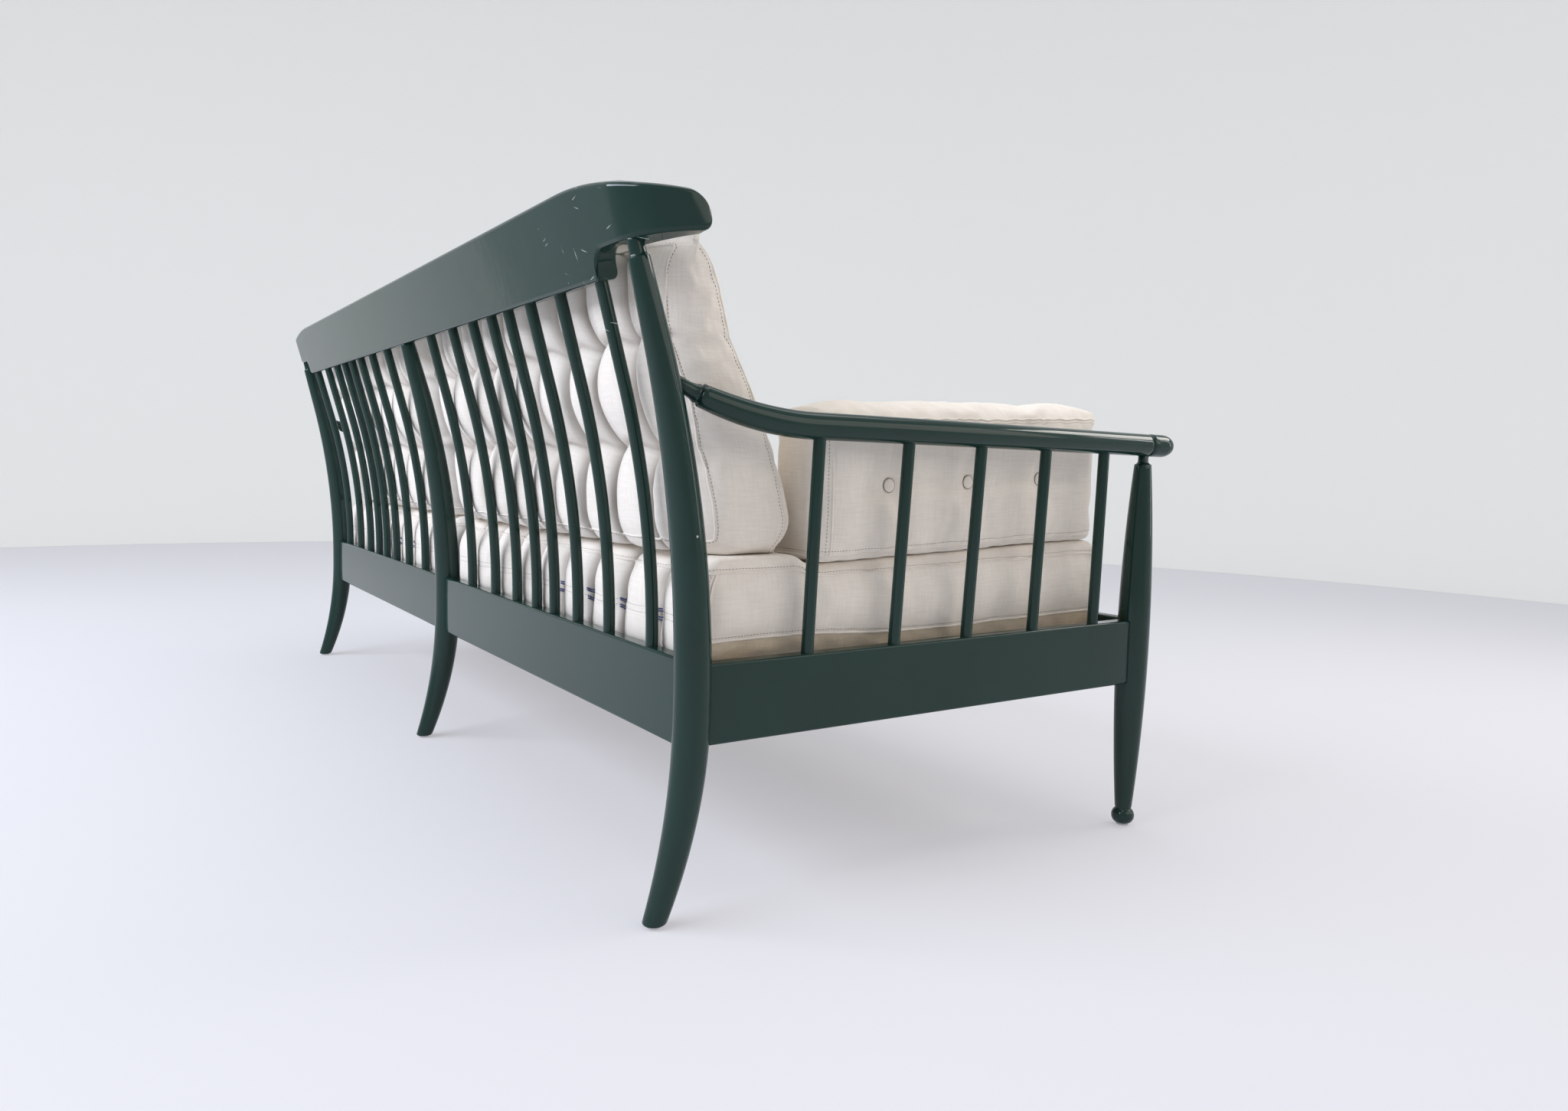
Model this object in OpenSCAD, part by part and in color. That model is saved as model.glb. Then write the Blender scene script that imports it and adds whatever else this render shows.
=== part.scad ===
// Spindle-back sofa: lacquered wooden frame, webbed seat and loose linen cushions.
// Millimetres. X runs along the sofa, the seat faces -Y and Z is up. The origin is on the floor,
// in the middle of the footprint. Left is -X and right is +X.

/* [Legs and lean] */
// Distance between the axes of the two corner back legs
leg_span = 1939; // [1700:1:2200]
// Distance from the back legs' axes to the front legs' axes
leg_depth = 747; // [690:1:820]
// How much further out each front leg stands than the back leg behind it
front_splay = 42.5; // [30:0.5:55]
// Thickest diameter of a back leg
leg_d = 44.8; // [40:0.1:50]
// Diameter of a back leg at the floor
leg_foot_d = 29; // [24:0.5:34]
// Diameter of a back leg at its upper end
leg_top_d = 25; // [23:0.5:28]
// Angle of the back from upright, in degrees
back_lean = 15.5; // [10:0.5:18]
// Height at which the upright line and the leaning line of the back cross
kink_z = 474; // [455:1:495]
// Height where the back legs start to bend backwards
leg_bend_z = 270; // [240:1:290]
// Height below which the back legs sweep backwards to the floor
foot_bend_z = 250; // [220:1:265]
// How far back a back leg's foot stands from its axis at the rails
foot_back = 45; // [20:1:60]
// Diameter of a corner leg's turned neck where it meets the crest rail
leg_neck_d = 19; // [16:0.5:21]
// Length of that neck
leg_neck_l = 19; // [12:0.5:26]
// Thickest diameter of a front leg
front_leg_d = 47.8; // [42:0.1:52]
// Height of a front leg's thickest place
front_leg_belly_z = 290; // [270:1:310]
// Diameter of a front leg at its shoulder and at its ankle
front_leg_thin_d = 25; // [23:0.5:28]
// Diameter of a front leg's neck, which is glued into the armrest
front_neck_d = 15; // [13:0.5:18]
// Height of bare neck that shows under the armrest
front_neck_h = 13; // [8:0.5:18]
// Diameter of a front leg's ball foot
ball_d = 34.4; // [30:0.2:40]
// Height of the ball foot
ball_h = 25; // [22:0.5:30]
// Diameter of a nail-in glide under each leg
glide_d = 18; // [14:0.5:22]
// Thickness of the glide's disc
glide_h = 2.5; // [1.5:0.1:4]

/* [Rails] */
// Thickness of every rail
rail_t = 23; // [20:0.5:26]
// Height of the back rail's top edge above the floor
back_rail_top = 309.5; // [300:0.5:320]
// Depth of the back rail, from edge to edge
back_rail_h = 105; // [90:0.5:115]
// Height of a side rail's top edge at its back end
side_rail_rear_top = 304.5; // [298:0.5:312]
// Height of the front rail's top edge, and of the side rails' front ends
front_rail_top = 322; // [315:0.5:330]
// Depth of the side and front rails, from edge to edge
side_rail_h = 97; // [85:0.5:105]
// Bevel along the rails' edges
rail_bevel = 3.5; // [1:0.5:5]
// Thickness of a rail's tenon
tenon_t = 9; // [7:0.5:12]
// How far a tenon reaches in from the leg's surface
tenon_in = 12; // [8:0.5:14]
// How much lower than the rail its tenon is, at each edge
tenon_step = 14; // [8:0.5:20]

/* [Crest rail] */
// Height on the corner legs' axes where they enter the crest rail
crest_z = 776.5; // [760:0.5:790]
// Thickness of the crest rail
crest_t = 28; // [25:0.5:32]
// Reach of the crest rail above that height, along its lean
crest_up = 77.3; // [65:0.1:90]
// Reach of the crest rail's deep middle part below that height
crest_down = 32.6; // [26:0.1:40]
// Rounding of the crest rail's long edges
crest_edge = 6; // [3:0.5:8]
// Distance inboard of the corner leg at which the crest starts to bend forwards
wing_start = 19.5; // [14:0.5:26]
// Outer radius of the bend
wing_r = 80; // [74:1:88]
// Length of the wing along its outer face, from the start of the bend to the tip
wing_l = 126; // [118:1:132]
// Height of the wing's tip
wing_tip_h = 40; // [34:1:46]
// Rounding of the tip's upper corner
tip_top_r = 21; // [14:1:22]
// Rounding of the tip's lower corner
tip_low_r = 13; // [6:1:14]
// How far the wing's underside droops at its tip
wing_droop = 9; // [4:0.5:12]
// How far before the bend the top edge starts to fall
top_fall_l = 140; // [110:1:160]
// Distance inboard of the corner leg of the notch's upright face
notch_in = 85.5; // [70:0.5:95]
// Radius of the notch's fillet
notch_r = 26; // [16:1:30]

/* [Spindles] */
// Diameter of every spindle
spindle_d = 16; // [13:0.5:18]
// Diameter of a back spindle where it enters the crest rail
spindle_top_d = 15.4; // [12.4:0.1:17.4]
// Diameter of the tenon at a back spindle's foot
spindle_foot_d = 12; // [9:0.5:12.5]
// Depth of a spindle's socket in a rail
socket_depth = 18; // [14:0.5:24]
// Spindles in each bay of the back
bay_spindles = 8; // [4:2:8]
// Distance from the middle back leg's axis to the nearest spindle
spindle_from_middle = 153.64; // [110:0.01:170]
// Distance from a corner back leg's axis to the nearest spindle
spindle_from_corner = 105.14; // [80:0.01:140]
// Growth of each gap over the one nearer the bay's middle
spindle_growth = 1.2; // [1:0.01:1.22]
// Spindles under each armrest
arm_spindles = 5; // [3:1:5]
// Distance from a back leg's axis to the rearmost arm spindle
arm_spindle_first = 156.3; // [130:0.1:180]
// Distance from the foremost arm spindle to the front leg's axis
arm_spindle_to_front = 90.5; // [75:0.5:110]
// How much wider the rearmost gap between them is
arm_spindle_extra = 11; // [0:0.5:14]

/* [Armrests] */
// Diameter of an armrest
arm_d = 33.4; // [30:0.5:38]
// Height of an armrest's axis along its level part
arm_z = 586.5; // [575:0.5:600]
// How much higher the armrest's axis is where it meets the back leg
arm_rise = 35; // [24:0.5:40]
// Distance in front of the back legs' axes where the armrest gets level
arm_level = 150; // [120:1:170]
// How far an armrest bows outwards between its ends
arm_bow = 16.5; // [8:0.5:20]
// Reach of the armrest's knob past the front leg's axis
arm_over = 57; // [48:1:72]
// Diameter of the knob
knob_d = 34; // [31:0.5:38]
// Diameter of the armrest's turned neck at the back leg
arm_neck_d = 17; // [15:0.5:19]
// Distance from the back legs' axes forwards to the armrest's shoulder
arm_shoulder = 1; // [-3:0.5:6]

/* [Webbing] */
// Depth of the webbing below the rails' top edges
web_drop = 12; // [8:0.5:16]
// Width of a strap
strap_w = 50; // [40:1:60]
// Thickness of a strap
strap_t = 3; // [2:0.5:4]
// Straps in each bay
bay_straps = 6; // [3:1:7]
// Width of the battens that carry the straps
batten_w = 20; // [16:0.5:26]
// Height of the battens
batten_h = 24; // [18:0.5:30]
// Thickness of the diagonal corner blocks
block_t = 24; // [18:0.5:28]
// Height of the corner blocks
block_h = 40; // [30:1:50]
// Distance from a leg's axis to the near side of the corner block along the rail
block_in = 62; // [50:1:72]
// Shank diameter of the wood screws
screw_d = 4.5; // [3.5:0.1:5.5]
// Length of the wood screws
screw_l = 32; // [28:1:36]

/* [Cushions] */
// Clearance between a cushion and what is beside it
ease = 0.4; // [0.3:0.1:1]
// Thickness of a seat cushion at its edges
seat_t = 127; // [110:1:140]
// Rise of a seat cushion's crown
seat_crown = 17; // [8:1:24]
// Gap between a seat cushion's outer end and the side rail beside the back leg
seat_side_gap = 2; // [1:0.5:28]
// Gap between a seat cushion's front and the front rail
seat_front_gap = 6; // [4:1:20]
// Spacing of the sewn tufts along the cushions
tuft_pitch = 105.5; // [100:0.5:110]
// Depth of the side tufts in the seat cushions' back boxing
seat_tuft = 9; // [4:0.5:12]
// Height of a back cushion
back_cushion_h = 384; // [350:1:392]
// Thickness of a back cushion at its foot
back_cushion_t = 174; // [160:1:182]
// Thickness of a back cushion near its top
back_cushion_top_t = 88; // [76:1:100]
// Depth of the pleats on the back cushions
pleat = 13; // [8:0.5:16]
// Height of an arm cushion
arm_cushion_h = 192; // [180:1:205]
// Thickness of an arm cushion
arm_cushion_t = 112; // [95:1:125]
// Rise of an arm cushion's crown
arm_crown = 12; // [6:1:18]
// How far an arm cushion's back end sinks into the seat cushion
arm_sink = 14; // [8:1:18]
// How far an arm cushion's outer face stands past the seat cushion's end
arm_cushion_over = 5; // [-11:0.5:6]
// Diameter of a covered button
button_d = 18; // [14:0.5:22]
// Spacing of the buttons along an arm cushion
button_pitch = 143; // [120:1:150]

/* [Hidden] */
SIDES = ["left", "right"];

$fn = 32;
lacquer = "#2b4742";
linen = "#d8d2c8";
steel = "#9a9da0";
bare_wood = "#c9a679";
rubber = "#2a2723";

post_sides = 24;
arm_sides = 20;
half_span = leg_span / 2;
bay = half_span;

// The line of the back: upright, then an arc, then a straight lean through the kink
leg_r = (kink_z - leg_bend_z) / tan(back_lean / 2);
spindle_r = (kink_z - back_rail_top) / tan(back_lean / 2);
foot_r = (pow(foot_bend_z, 2) + pow(foot_back, 2)) / (2 * foot_back);
crest_back =
    (crest_z - kink_z) * tan(back_lean) + crest_t / 2 * cos(back_lean)
    + (crest_up - crest_edge) * sin(back_lean);
knob_slant = knob_d * 0.19 * front_splay / leg_depth;
rear_y = (leg_depth + arm_over + knob_slant - crest_back) / 2;
front_y = rear_y - leg_depth;
front_x = half_span + front_splay;
leg_top_z = crest_z - leg_neck_l * cos(back_lean);

function lerp(a, b, t) = a + (b - a) * t;
function unit(v) = v / norm(v);
function ramp(t) = max(0, min(1, t));

// Distance of the back's line behind the legs' axes at height z, for an arc that starts at from
function lean_y(z, from, r) =
    z <= from ? 0
    : z < from + r * sin(back_lean) ? r - sqrt(r * r - pow(z - from, 2))
    : (z - kink_z) * tan(back_lean);
function post_y(z) =
    z < foot_bend_z ? foot_r - sqrt(foot_r * foot_r - pow(foot_bend_z - z, 2))
    : lean_y(z, leg_bend_z, leg_r);
function post_tilt(z) =
    z < foot_bend_z ? -asin((foot_bend_z - z) / foot_r)
    : z <= leg_bend_z ? 0
    : min(back_lean, asin(min(1, (z - leg_bend_z) / leg_r)));
function spindle_y(z) = lean_y(z, back_rail_top, spindle_r);
function post_radius(z) =
    z < foot_bend_z
    ? leg_d / 2 - (leg_d - leg_foot_d) / 2 * pow((foot_bend_z - z) / foot_bend_z, 1.8)
    : leg_d / 2 - (leg_d - leg_top_d) / 2 * pow((z - foot_bend_z) / (leg_top_z - foot_bend_z), 2);

// Lines of the side rails and the armrests, d in front of the back legs' axes
function rail_x(d) = half_span + front_splay * d / leg_depth;
function rail_top(d) = lerp(side_rail_rear_top, front_rail_top, d / leg_depth);
function arm_axis_x(d) = rail_x(d) + arm_bow * sin(180 * pow(ramp(d / leg_depth), 0.8));
function arm_axis_z(d) = arm_z + arm_rise * pow(max(0, (arm_level - d) / (arm_level + 16)), 2);
function arm_point(d) = [arm_axis_x(d), rear_y - d, arm_axis_z(d)];

function middle(ring) = [for (k = [0 : 2]) [for (p = ring) p[k]] * [for (p = ring) 1] / len(ring)];

// Solid through closed rings of equal length, with its two ends closed by fans
module loft(rings) {
    m = len(rings[0]);
    n = len(rings);
    points = concat([for (ring = rings) each ring], [middle(rings[0]), middle(rings[n - 1])]);
    walls = [
        for (i = [0 : n - 2], j = [0 : m - 1])
            let (a = i * m + j, b = i * m + (j + 1) % m)
            each [[a, b + m, b], [a, a + m, b + m]]
    ];
    caps = [
        for (j = [0 : m - 1])
            let (k = (j + 1) % m)
            each [[n * m, j, k], [n * m + 1, (n - 1) * m + k, (n - 1) * m + j]]
    ];
    polyhedron(points, concat(walls, caps));
}

// Parts are drawn on the right, and mirrored for the left
module on_side(s) {
    if (s == "left") mirror([1, 0, 0]) children();
    else children();
}

// Frame of the crest rail: Z along its lean, Y out of its back, at the corner legs' entry height
module on_crest() {
    translate([0, rear_y + (crest_z - kink_z) * tan(back_lean), crest_z])
        rotate([-back_lean, 0, 0]) children();
}

// Round rod from a to b
module rod(a, b, d) {
    v = b - a;
    translate(a) rotate([0, acos(v.z / norm(v)), atan2(v.y, v.x)]) cylinder(h = norm(v), d = d);
}

// Board from a to b, centred on that line, with bevelled edges
module board(a, b, thick, high, bevel) {
    v = b - a;
    y = thick / 2;
    z = high / 2;
    outline = [
        [y - bevel, -z], [y, bevel - z], [y, z - bevel], [y - bevel, z],
        [bevel - y, z], [-y, z - bevel], [-y, bevel - z], [bevel - y, -z]
    ];
    section = bevel > 0 ? outline : [[y, -z], [y, z], [-y, z], [-y, -z]];
    translate(a)
        rotate([0, -atan2(v.z, norm([v.x, v.y])), atan2(v.y, v.x)])
            rotate([90, 0, 90]) linear_extrude(norm(v)) polygon(section);
}

// Height of the webbing's upper face, d in front of the back legs' axes
web_rear_z = side_rail_rear_top - web_drop + strap_t;
web_front_z = front_rail_top - web_drop + strap_t;
function web_z(d) = lerp(web_rear_z, web_front_z, d / leg_depth);
batten_rear_d = rail_t / 2;
batten_front_d = leg_depth - rail_t / 2;
batten_x0 = leg_d / 2 + 6;
batten_x1 = half_span - block_in - block_t * sqrt(2) - 6;
clip_t = 1;
clip_w = 12;
screw_places = [for (i = [0 : 3]) lerp(batten_x0 + 40, batten_x1 - 40, i / 3)];

// Back legs

function post_ring(x, z, r) =
    let (
        tilt = post_tilt(z),
        plane = z < foot_bend_z ? 0 : tilt,
        deep = r / cos(tilt - plane)
    )
    [
        for (i = [0 : post_sides - 1])
            let (a = 360 * i / post_sides)
            [x + r * cos(a), rear_y + post_y(z) + deep * sin(a) * cos(plane), z - deep * sin(a) * sin(plane)]
    ];

foot_bevel = 3;
post_heights = concat(
    [for (i = [0 : 6]) lerp(glide_h + foot_bevel, foot_bend_z, i / 7)],
    [foot_bend_z, leg_bend_z],
    [for (i = [1 : 12]) lerp(leg_bend_z, leg_top_z, i / 12)]
);
beside_rails = [
    for (z = post_heights) if (z > back_rail_top - back_rail_h - 1.4 * leg_d && z < back_rail_top + 2 * leg_d) z
];

module post(x, top) {
    loft(concat(
        [post_ring(x, glide_h, post_radius(glide_h) - foot_bevel)],
        [for (z = post_heights) if (z < top - 10) post_ring(x, z, post_radius(z))],
        [post_ring(x, top, post_radius(top))]
    ));
}

// The stretch of a back leg that the rails are fitted round
module post_at_rails(x) {
    loft([for (z = beside_rails) post_ring(x, z, post_radius(z))]);
}

// Turned neck of a corner leg and its tenon, both let into the crest rail
module leg_neck_and_tenon() {
    translate([half_span, 0, -leg_neck_l]) {
        cylinder(h = leg_neck_l, d1 = leg_neck_d + 2, d2 = leg_neck_d - 1);
        cylinder(h = leg_neck_l + socket_depth, d = leg_neck_d - 3);
    }
}

module corner_post() {
    post(half_span, leg_top_z);
    on_crest() leg_neck_and_tenon();
}

module middle_post() {
    post(0, crest_z - crest_down * cos(back_lean));
    on_crest() translate([0, 0, -crest_down]) cylinder(h = socket_depth, d = leg_top_d - 5);
}

module corner_leg(s) {
    color(lacquer) on_side(s) difference() {
        corner_post();
        rail_tenon(back_rail_end, back_rail_start, back_rail_h);
        rail_tenon(side_rail_start, side_rail_end, side_rail_h);
        arm_tenon();
        glide_nail(half_span, foot_back_y);
    }
}

module middle_leg() {
    color(lacquer) difference() {
        middle_post();
        for (s = SIDES) on_side(s) rail_tenon(back_rail_start, back_rail_end, back_rail_h);
        centre_tenon(rear_y, -1);
        glide_nail(0, foot_back_y);
    }
}

// Rails

back_rail_mid = back_rail_top - back_rail_h / 2;
front_rail_mid = front_rail_top - side_rail_h / 2;
back_rail_start = [0, rear_y, back_rail_mid];
back_rail_end = [half_span, rear_y, back_rail_mid];
front_rail_start = [0, front_y, front_rail_mid];
front_rail_end = [front_x, front_y, front_rail_mid];
side_rail_start = [half_span, rear_y, side_rail_rear_top - side_rail_h / 2];
side_rail_end = [front_x, front_y, front_rail_mid];

// Tenon at the a end of a rail from a to b, as it lies inside the leg at a
module rail_tenon(a, b, high) {
    v = unit(b - a);
    hidden = leg_d / 2 - tenon_in;
    board(a + v * hidden, a + v * (leg_d / 2 + rail_bevel), tenon_t, high - 2 * tenon_step, 0);
}

module back_rail_board() {
    board(back_rail_start, back_rail_end, rail_t, back_rail_h, rail_bevel);
}

module front_rail_board() {
    board(front_rail_start, front_rail_end, rail_t, side_rail_h, rail_bevel);
}

module back_rail(s) {
    color(lacquer) on_side(s) {
        difference() {
            back_rail_board();
            post_at_rails(0);
            post_at_rails(half_span);
            for (i = [1 : bay_spindles]) spindle_socket(spindle_x(i));
            for (x = screw_places) batten_screw(x, 1);
            block_screw(1, 0);
        }
        rail_tenon(back_rail_start, back_rail_end, back_rail_h);
        rail_tenon(back_rail_end, back_rail_start, back_rail_h);
    }
}

module front_rail(s) {
    color(lacquer) on_side(s) {
        difference() {
            front_rail_board();
            front_post_body(0);
            front_post_body(front_x);
            for (x = screw_places) batten_screw(x, -1);
            block_screw(-1, 0);
        }
        front_tenon(front_rail_start, front_rail_end);
        front_tenon(front_rail_end, front_rail_start);
    }
}

module front_tenon(a, b) {
    v = unit(b - a);
    hidden = front_leg_d / 2 - tenon_in;
    board(a + v * hidden, a + v * (front_leg_d / 2 + rail_bevel), tenon_t, side_rail_h - 2 * tenon_step, 0);
}

module side_rail(s) {
    color(lacquer) on_side(s) {
        difference() {
            board(side_rail_start, side_rail_end, rail_t, side_rail_h, rail_bevel);
            post_at_rails(half_span);
            front_post_body(front_x);
            for (i = [1 : arm_spindles]) arm_spindle_rod(i);
            block_screw(1, 1);
            block_screw(-1, 1);
        }
        rail_tenon(side_rail_start, side_rail_end, side_rail_h);
        front_tenon(side_rail_end, side_rail_start);
    }
}

// Rail from front to back under the webbing, between the two middle legs
centre_rail_t = 22;
centre_rail_h = 62;
centre_rail_z = web_z(leg_depth / 2) - strap_t - batten_h - centre_rail_h / 2;

module centre_tenon(y, toward) {
    reach = (y == rear_y ? leg_d : front_leg_d) / 2;
    a = [0, y + toward * (reach - tenon_in), centre_rail_z];
    b = [0, y + toward * (reach + rail_bevel), centre_rail_z];
    board(a, b, tenon_t, centre_rail_h - tenon_step, 0);
}

module centre_rail() {
    color(bare_wood) {
        difference() {
            board([0, rear_y, centre_rail_z], [0, front_y, centre_rail_z], centre_rail_t, centre_rail_h, 2);
            post_at_rails(0);
            front_post_body(0);
            for (s = SIDES) on_side(s) {
                back_rail_board();
                front_rail_board();
            }
        }
        centre_tenon(rear_y, -1);
        centre_tenon(front_y, 1);
    }
}

// Front legs

front_shoulder_z = arm_z - arm_d / 2 - front_neck_h;
ankle_z = glide_h + ball_h;
middle_leg_top = front_rail_top + 2;

function front_radius(z) =
    let (span = z < front_leg_belly_z ? front_leg_belly_z - ankle_z : front_shoulder_z - front_leg_belly_z)
    front_leg_d / 2 - (front_leg_d - front_leg_thin_d) / 2 * pow(abs(z - front_leg_belly_z) / span, 2);

function foot_profile() =
    let (steps = 7, hub = front_leg_thin_d * 0.27)
    concat([[0, glide_h]], [
        for (i = [0 : steps])
            let (a = -74 + 144 * i / steps)
            [hub + (ball_d / 2 - hub) * cos(a), glide_h + ball_h * 0.5 * (sin(a) - sin(-74))]
    ]);

module front_post(x, top) {
    low = [for (i = [0 : 8]) lerp(ankle_z + 2, front_leg_belly_z, i / 8)];
    high = [for (i = [1 : 9]) lerp(front_leg_belly_z, top, i / 9)];
    translate([x, front_y, 0]) rotate_extrude($fn = 48)
        polygon(concat(foot_profile(), [for (z = concat(low, high)) [front_radius(z), z]], [[0, top]]));
}

// The part of a front leg that the rails meet
module front_post_body(x) {
    front_post(x, middle_leg_top + 30);
}

module front_corner_post() {
    flare = 5;
    front_post(front_x, front_shoulder_z);
    translate([front_x, front_y, front_shoulder_z])
        cylinder(h = flare, d1 = front_leg_thin_d - 2, d2 = front_neck_d);
    translate([front_x, front_y, front_shoulder_z]) cylinder(h = arm_z - front_shoulder_z, d = front_neck_d);
}

module front_leg(s) {
    color(lacquer) on_side(s) difference() {
        front_corner_post();
        front_tenon(front_rail_end, front_rail_start);
        front_tenon(side_rail_end, side_rail_start);
        glide_nail(front_x, front_y);
    }
}

module front_leg_middle() {
    dome = 5;
    color(lacquer) difference() {
        union() {
            front_post(0, middle_leg_top - dome);
            translate([0, front_y, middle_leg_top - dome])
                cylinder(h = dome, r1 = front_radius(middle_leg_top - dome), r2 = front_leg_d / 2 - 2 * dome);
        }
        for (s = SIDES) on_side(s) front_tenon(front_rail_start, front_rail_end);
        centre_tenon(front_y, 1);
        glide_nail(0, front_y);
    }
}

// Nail-in glides

foot_back_y = rear_y + post_y(glide_h);
nail_d = 3;
nail_l = 14;

module glide_nail(x, y) {
    translate([x, y, glide_h / 2]) cylinder(h = nail_l, d = nail_d, $fn = 16);
}

module foot_glides() {
    color(steel) for (x = [-1, 0, 1], p = [[x * half_span, foot_back_y], [x * front_x, front_y]]) {
        translate([p.x, p.y, 0]) cylinder(h = glide_h, d = glide_d);
        glide_nail(p.x, p.y);
    }
}

// Crest rail

wing_arc_r = wing_r - crest_t / 2;
wing_x = half_span - wing_start;
notch_s = wing_start - notch_in;
top_fall = (crest_up + wing_droop - wing_tip_h) / pow(wing_l + top_fall_l, 2);

// Upper and lower edge of the crest rail, s past the start of the bend along the outer face
function tip_corner(s, r) = s < wing_l - r ? 0 : r - sqrt(max(0, r * r - pow(s - wing_l + r, 2)));
function crest_top(s) = crest_up - top_fall * pow(max(0, s + top_fall_l), 2) - tip_corner(s, tip_top_r);
function crest_low(s) =
    s < notch_s ? -crest_down
    : s < notch_s + notch_r ? sqrt(max(0, notch_r * notch_r - pow(notch_s + notch_r - s, 2))) - notch_r
    : tip_corner(s, tip_low_r) - wing_droop * pow(max(0, s) / wing_l, 2);

// Middle of the board and its outward direction, s past the start of the bend
function crest_turn(s) = max(0, s) / wing_r * 180 / PI;
function crest_mid(s) =
    let (a = crest_turn(s))
    [wing_x + min(0, s) + wing_arc_r * sin(a), wing_arc_r * (cos(a) - 1), sin(a), cos(a)];

// The underside levels out along the wing, so its inner edge hangs lower there
function inner_drop(s) = crest_t * tan(back_lean) * cos(crest_turn(s)) * ramp((s + 20) / 30);

function crest_ring(s) =
    let (
        m = crest_mid(s),
        half = crest_t / 2 - (s > wing_l - 6 ? 1.5 : 0),
        top = crest_top(s),
        low = crest_low(s),
        e = min(crest_edge, (top - low) / 2 - 0.3)
    )
    [
        for (corner = [[1, 1], [-1, 1], [-1, -1], [1, -1]], k = [0 : 2])
            let (
                turn = corner[0] * corner[1] > 0 ? 45 * k : 90 - 45 * k,
                drop = corner == [-1, -1] ? inner_drop(s) : 0,
                v = corner[0] * (half - e + e * cos(turn)),
                w = corner[1] > 0 ? top - e + e * sin(turn) : low - drop + e - e * sin(turn)
            )
            [m[0] + v * m[2], v * m[3] + m[1], w]
    ];

crest_stations = concat(
    [-top_fall_l - 30, (-top_fall_l + notch_s) / 2, notch_s - 0.6],
    [for (a = [8, 40, 68, 90]) notch_s + notch_r * (1 - cos(a))],
    [-20, 0, 14, 28, 42, 56, 70, 84, 98],
    [for (a = [0, 25, 45, 62, 76, 86]) wing_l - tip_top_r * (1 - sin(a))]
);

function half_crest_rings() = [for (s = crest_stations) crest_ring(s)];

module crest_rail() {
    right = half_crest_rings();
    n = len(right);
    m = len(right[0]);
    // The left half repeats the right one with x turned round and each ring's points in the same order
    left = [for (i = [n - 1 : -1 : 0]) [for (p = right[i]) [-p.x, p.y, p.z]]];
    color(lacquer) on_crest() difference() {
        loft(concat(left, right));
        translate([0, 0, -crest_down - 1]) cylinder(h = socket_depth + 1, d = leg_top_d - 5);
        for (s = SIDES) on_side(s) {
            for (i = [1 : bay_spindles])
                translate([spindle_x(i), 0, -crest_down - 1])
                    cylinder(h = socket_depth + 1, d = spindle_top_d);
            leg_neck_and_tenon();
        }
    }
}

// Spindles

// Gaps between spindles grow towards both ends of the bay, from one middle gap
function grown_gaps(k) = k <= 0 ? 0 : grown_gaps(k - 1) + pow(spindle_growth, k);
spindle_gap = (bay - spindle_from_middle - spindle_from_corner) / (1 + 2 * grown_gaps(bay_spindles / 2 - 1));
spindle_centre = (bay + spindle_from_middle - spindle_from_corner) / 2;
function spindle_x(i) =
    let (
        half = bay_spindles / 2,
        k = i <= half ? half - i : i - half - 1,
        off = spindle_gap * (0.5 + grown_gaps(k))
    )
    spindle_centre + (i <= half ? -off : off);

module spindle_socket(x) {
    translate([x, rear_y, back_rail_top - socket_depth]) cylinder(h = socket_depth + 1, d = spindle_foot_d);
}

module back_spindle(s, i) {
    x = spindle_x(i);
    inside = 3;
    straight_from = (back_rail_top + spindle_r * sin(back_lean) - crest_z) / cos(back_lean) - inside;
    color(lacquer) on_side(s) {
        translate([x, rear_y, back_rail_top - socket_depth])
            cylinder(h = socket_depth + inside, d = spindle_foot_d);
        translate([x, rear_y + spindle_r, back_rail_top]) rotate([90, 0, -90])
            rotate_extrude(angle = back_lean, $fn = 360)
                translate([spindle_r, 0]) circle(d = spindle_d, $fn = 32);
        on_crest() translate([x, 0, straight_from])
            cylinder(h = socket_depth - crest_down - straight_from, d = spindle_top_d);
    }
}

arm_spindle_pitch =
    (leg_depth - arm_spindle_first - arm_spindle_to_front - arm_spindle_extra) / (arm_spindles - 1);
function arm_spindle_d(i) =
    leg_depth - arm_spindle_to_front - arm_spindle_pitch * (arm_spindles - i) - (i == 1 ? arm_spindle_extra : 0);

module arm_spindle_rod(i) {
    d = arm_spindle_d(i);
    rod([rail_x(d), rear_y - d, rail_top(d) - socket_depth], arm_point(d), spindle_d);
}

module arm_spindle(s, i) {
    color(lacquer) on_side(s) arm_spindle_rod(i);
}

// Armrests

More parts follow.
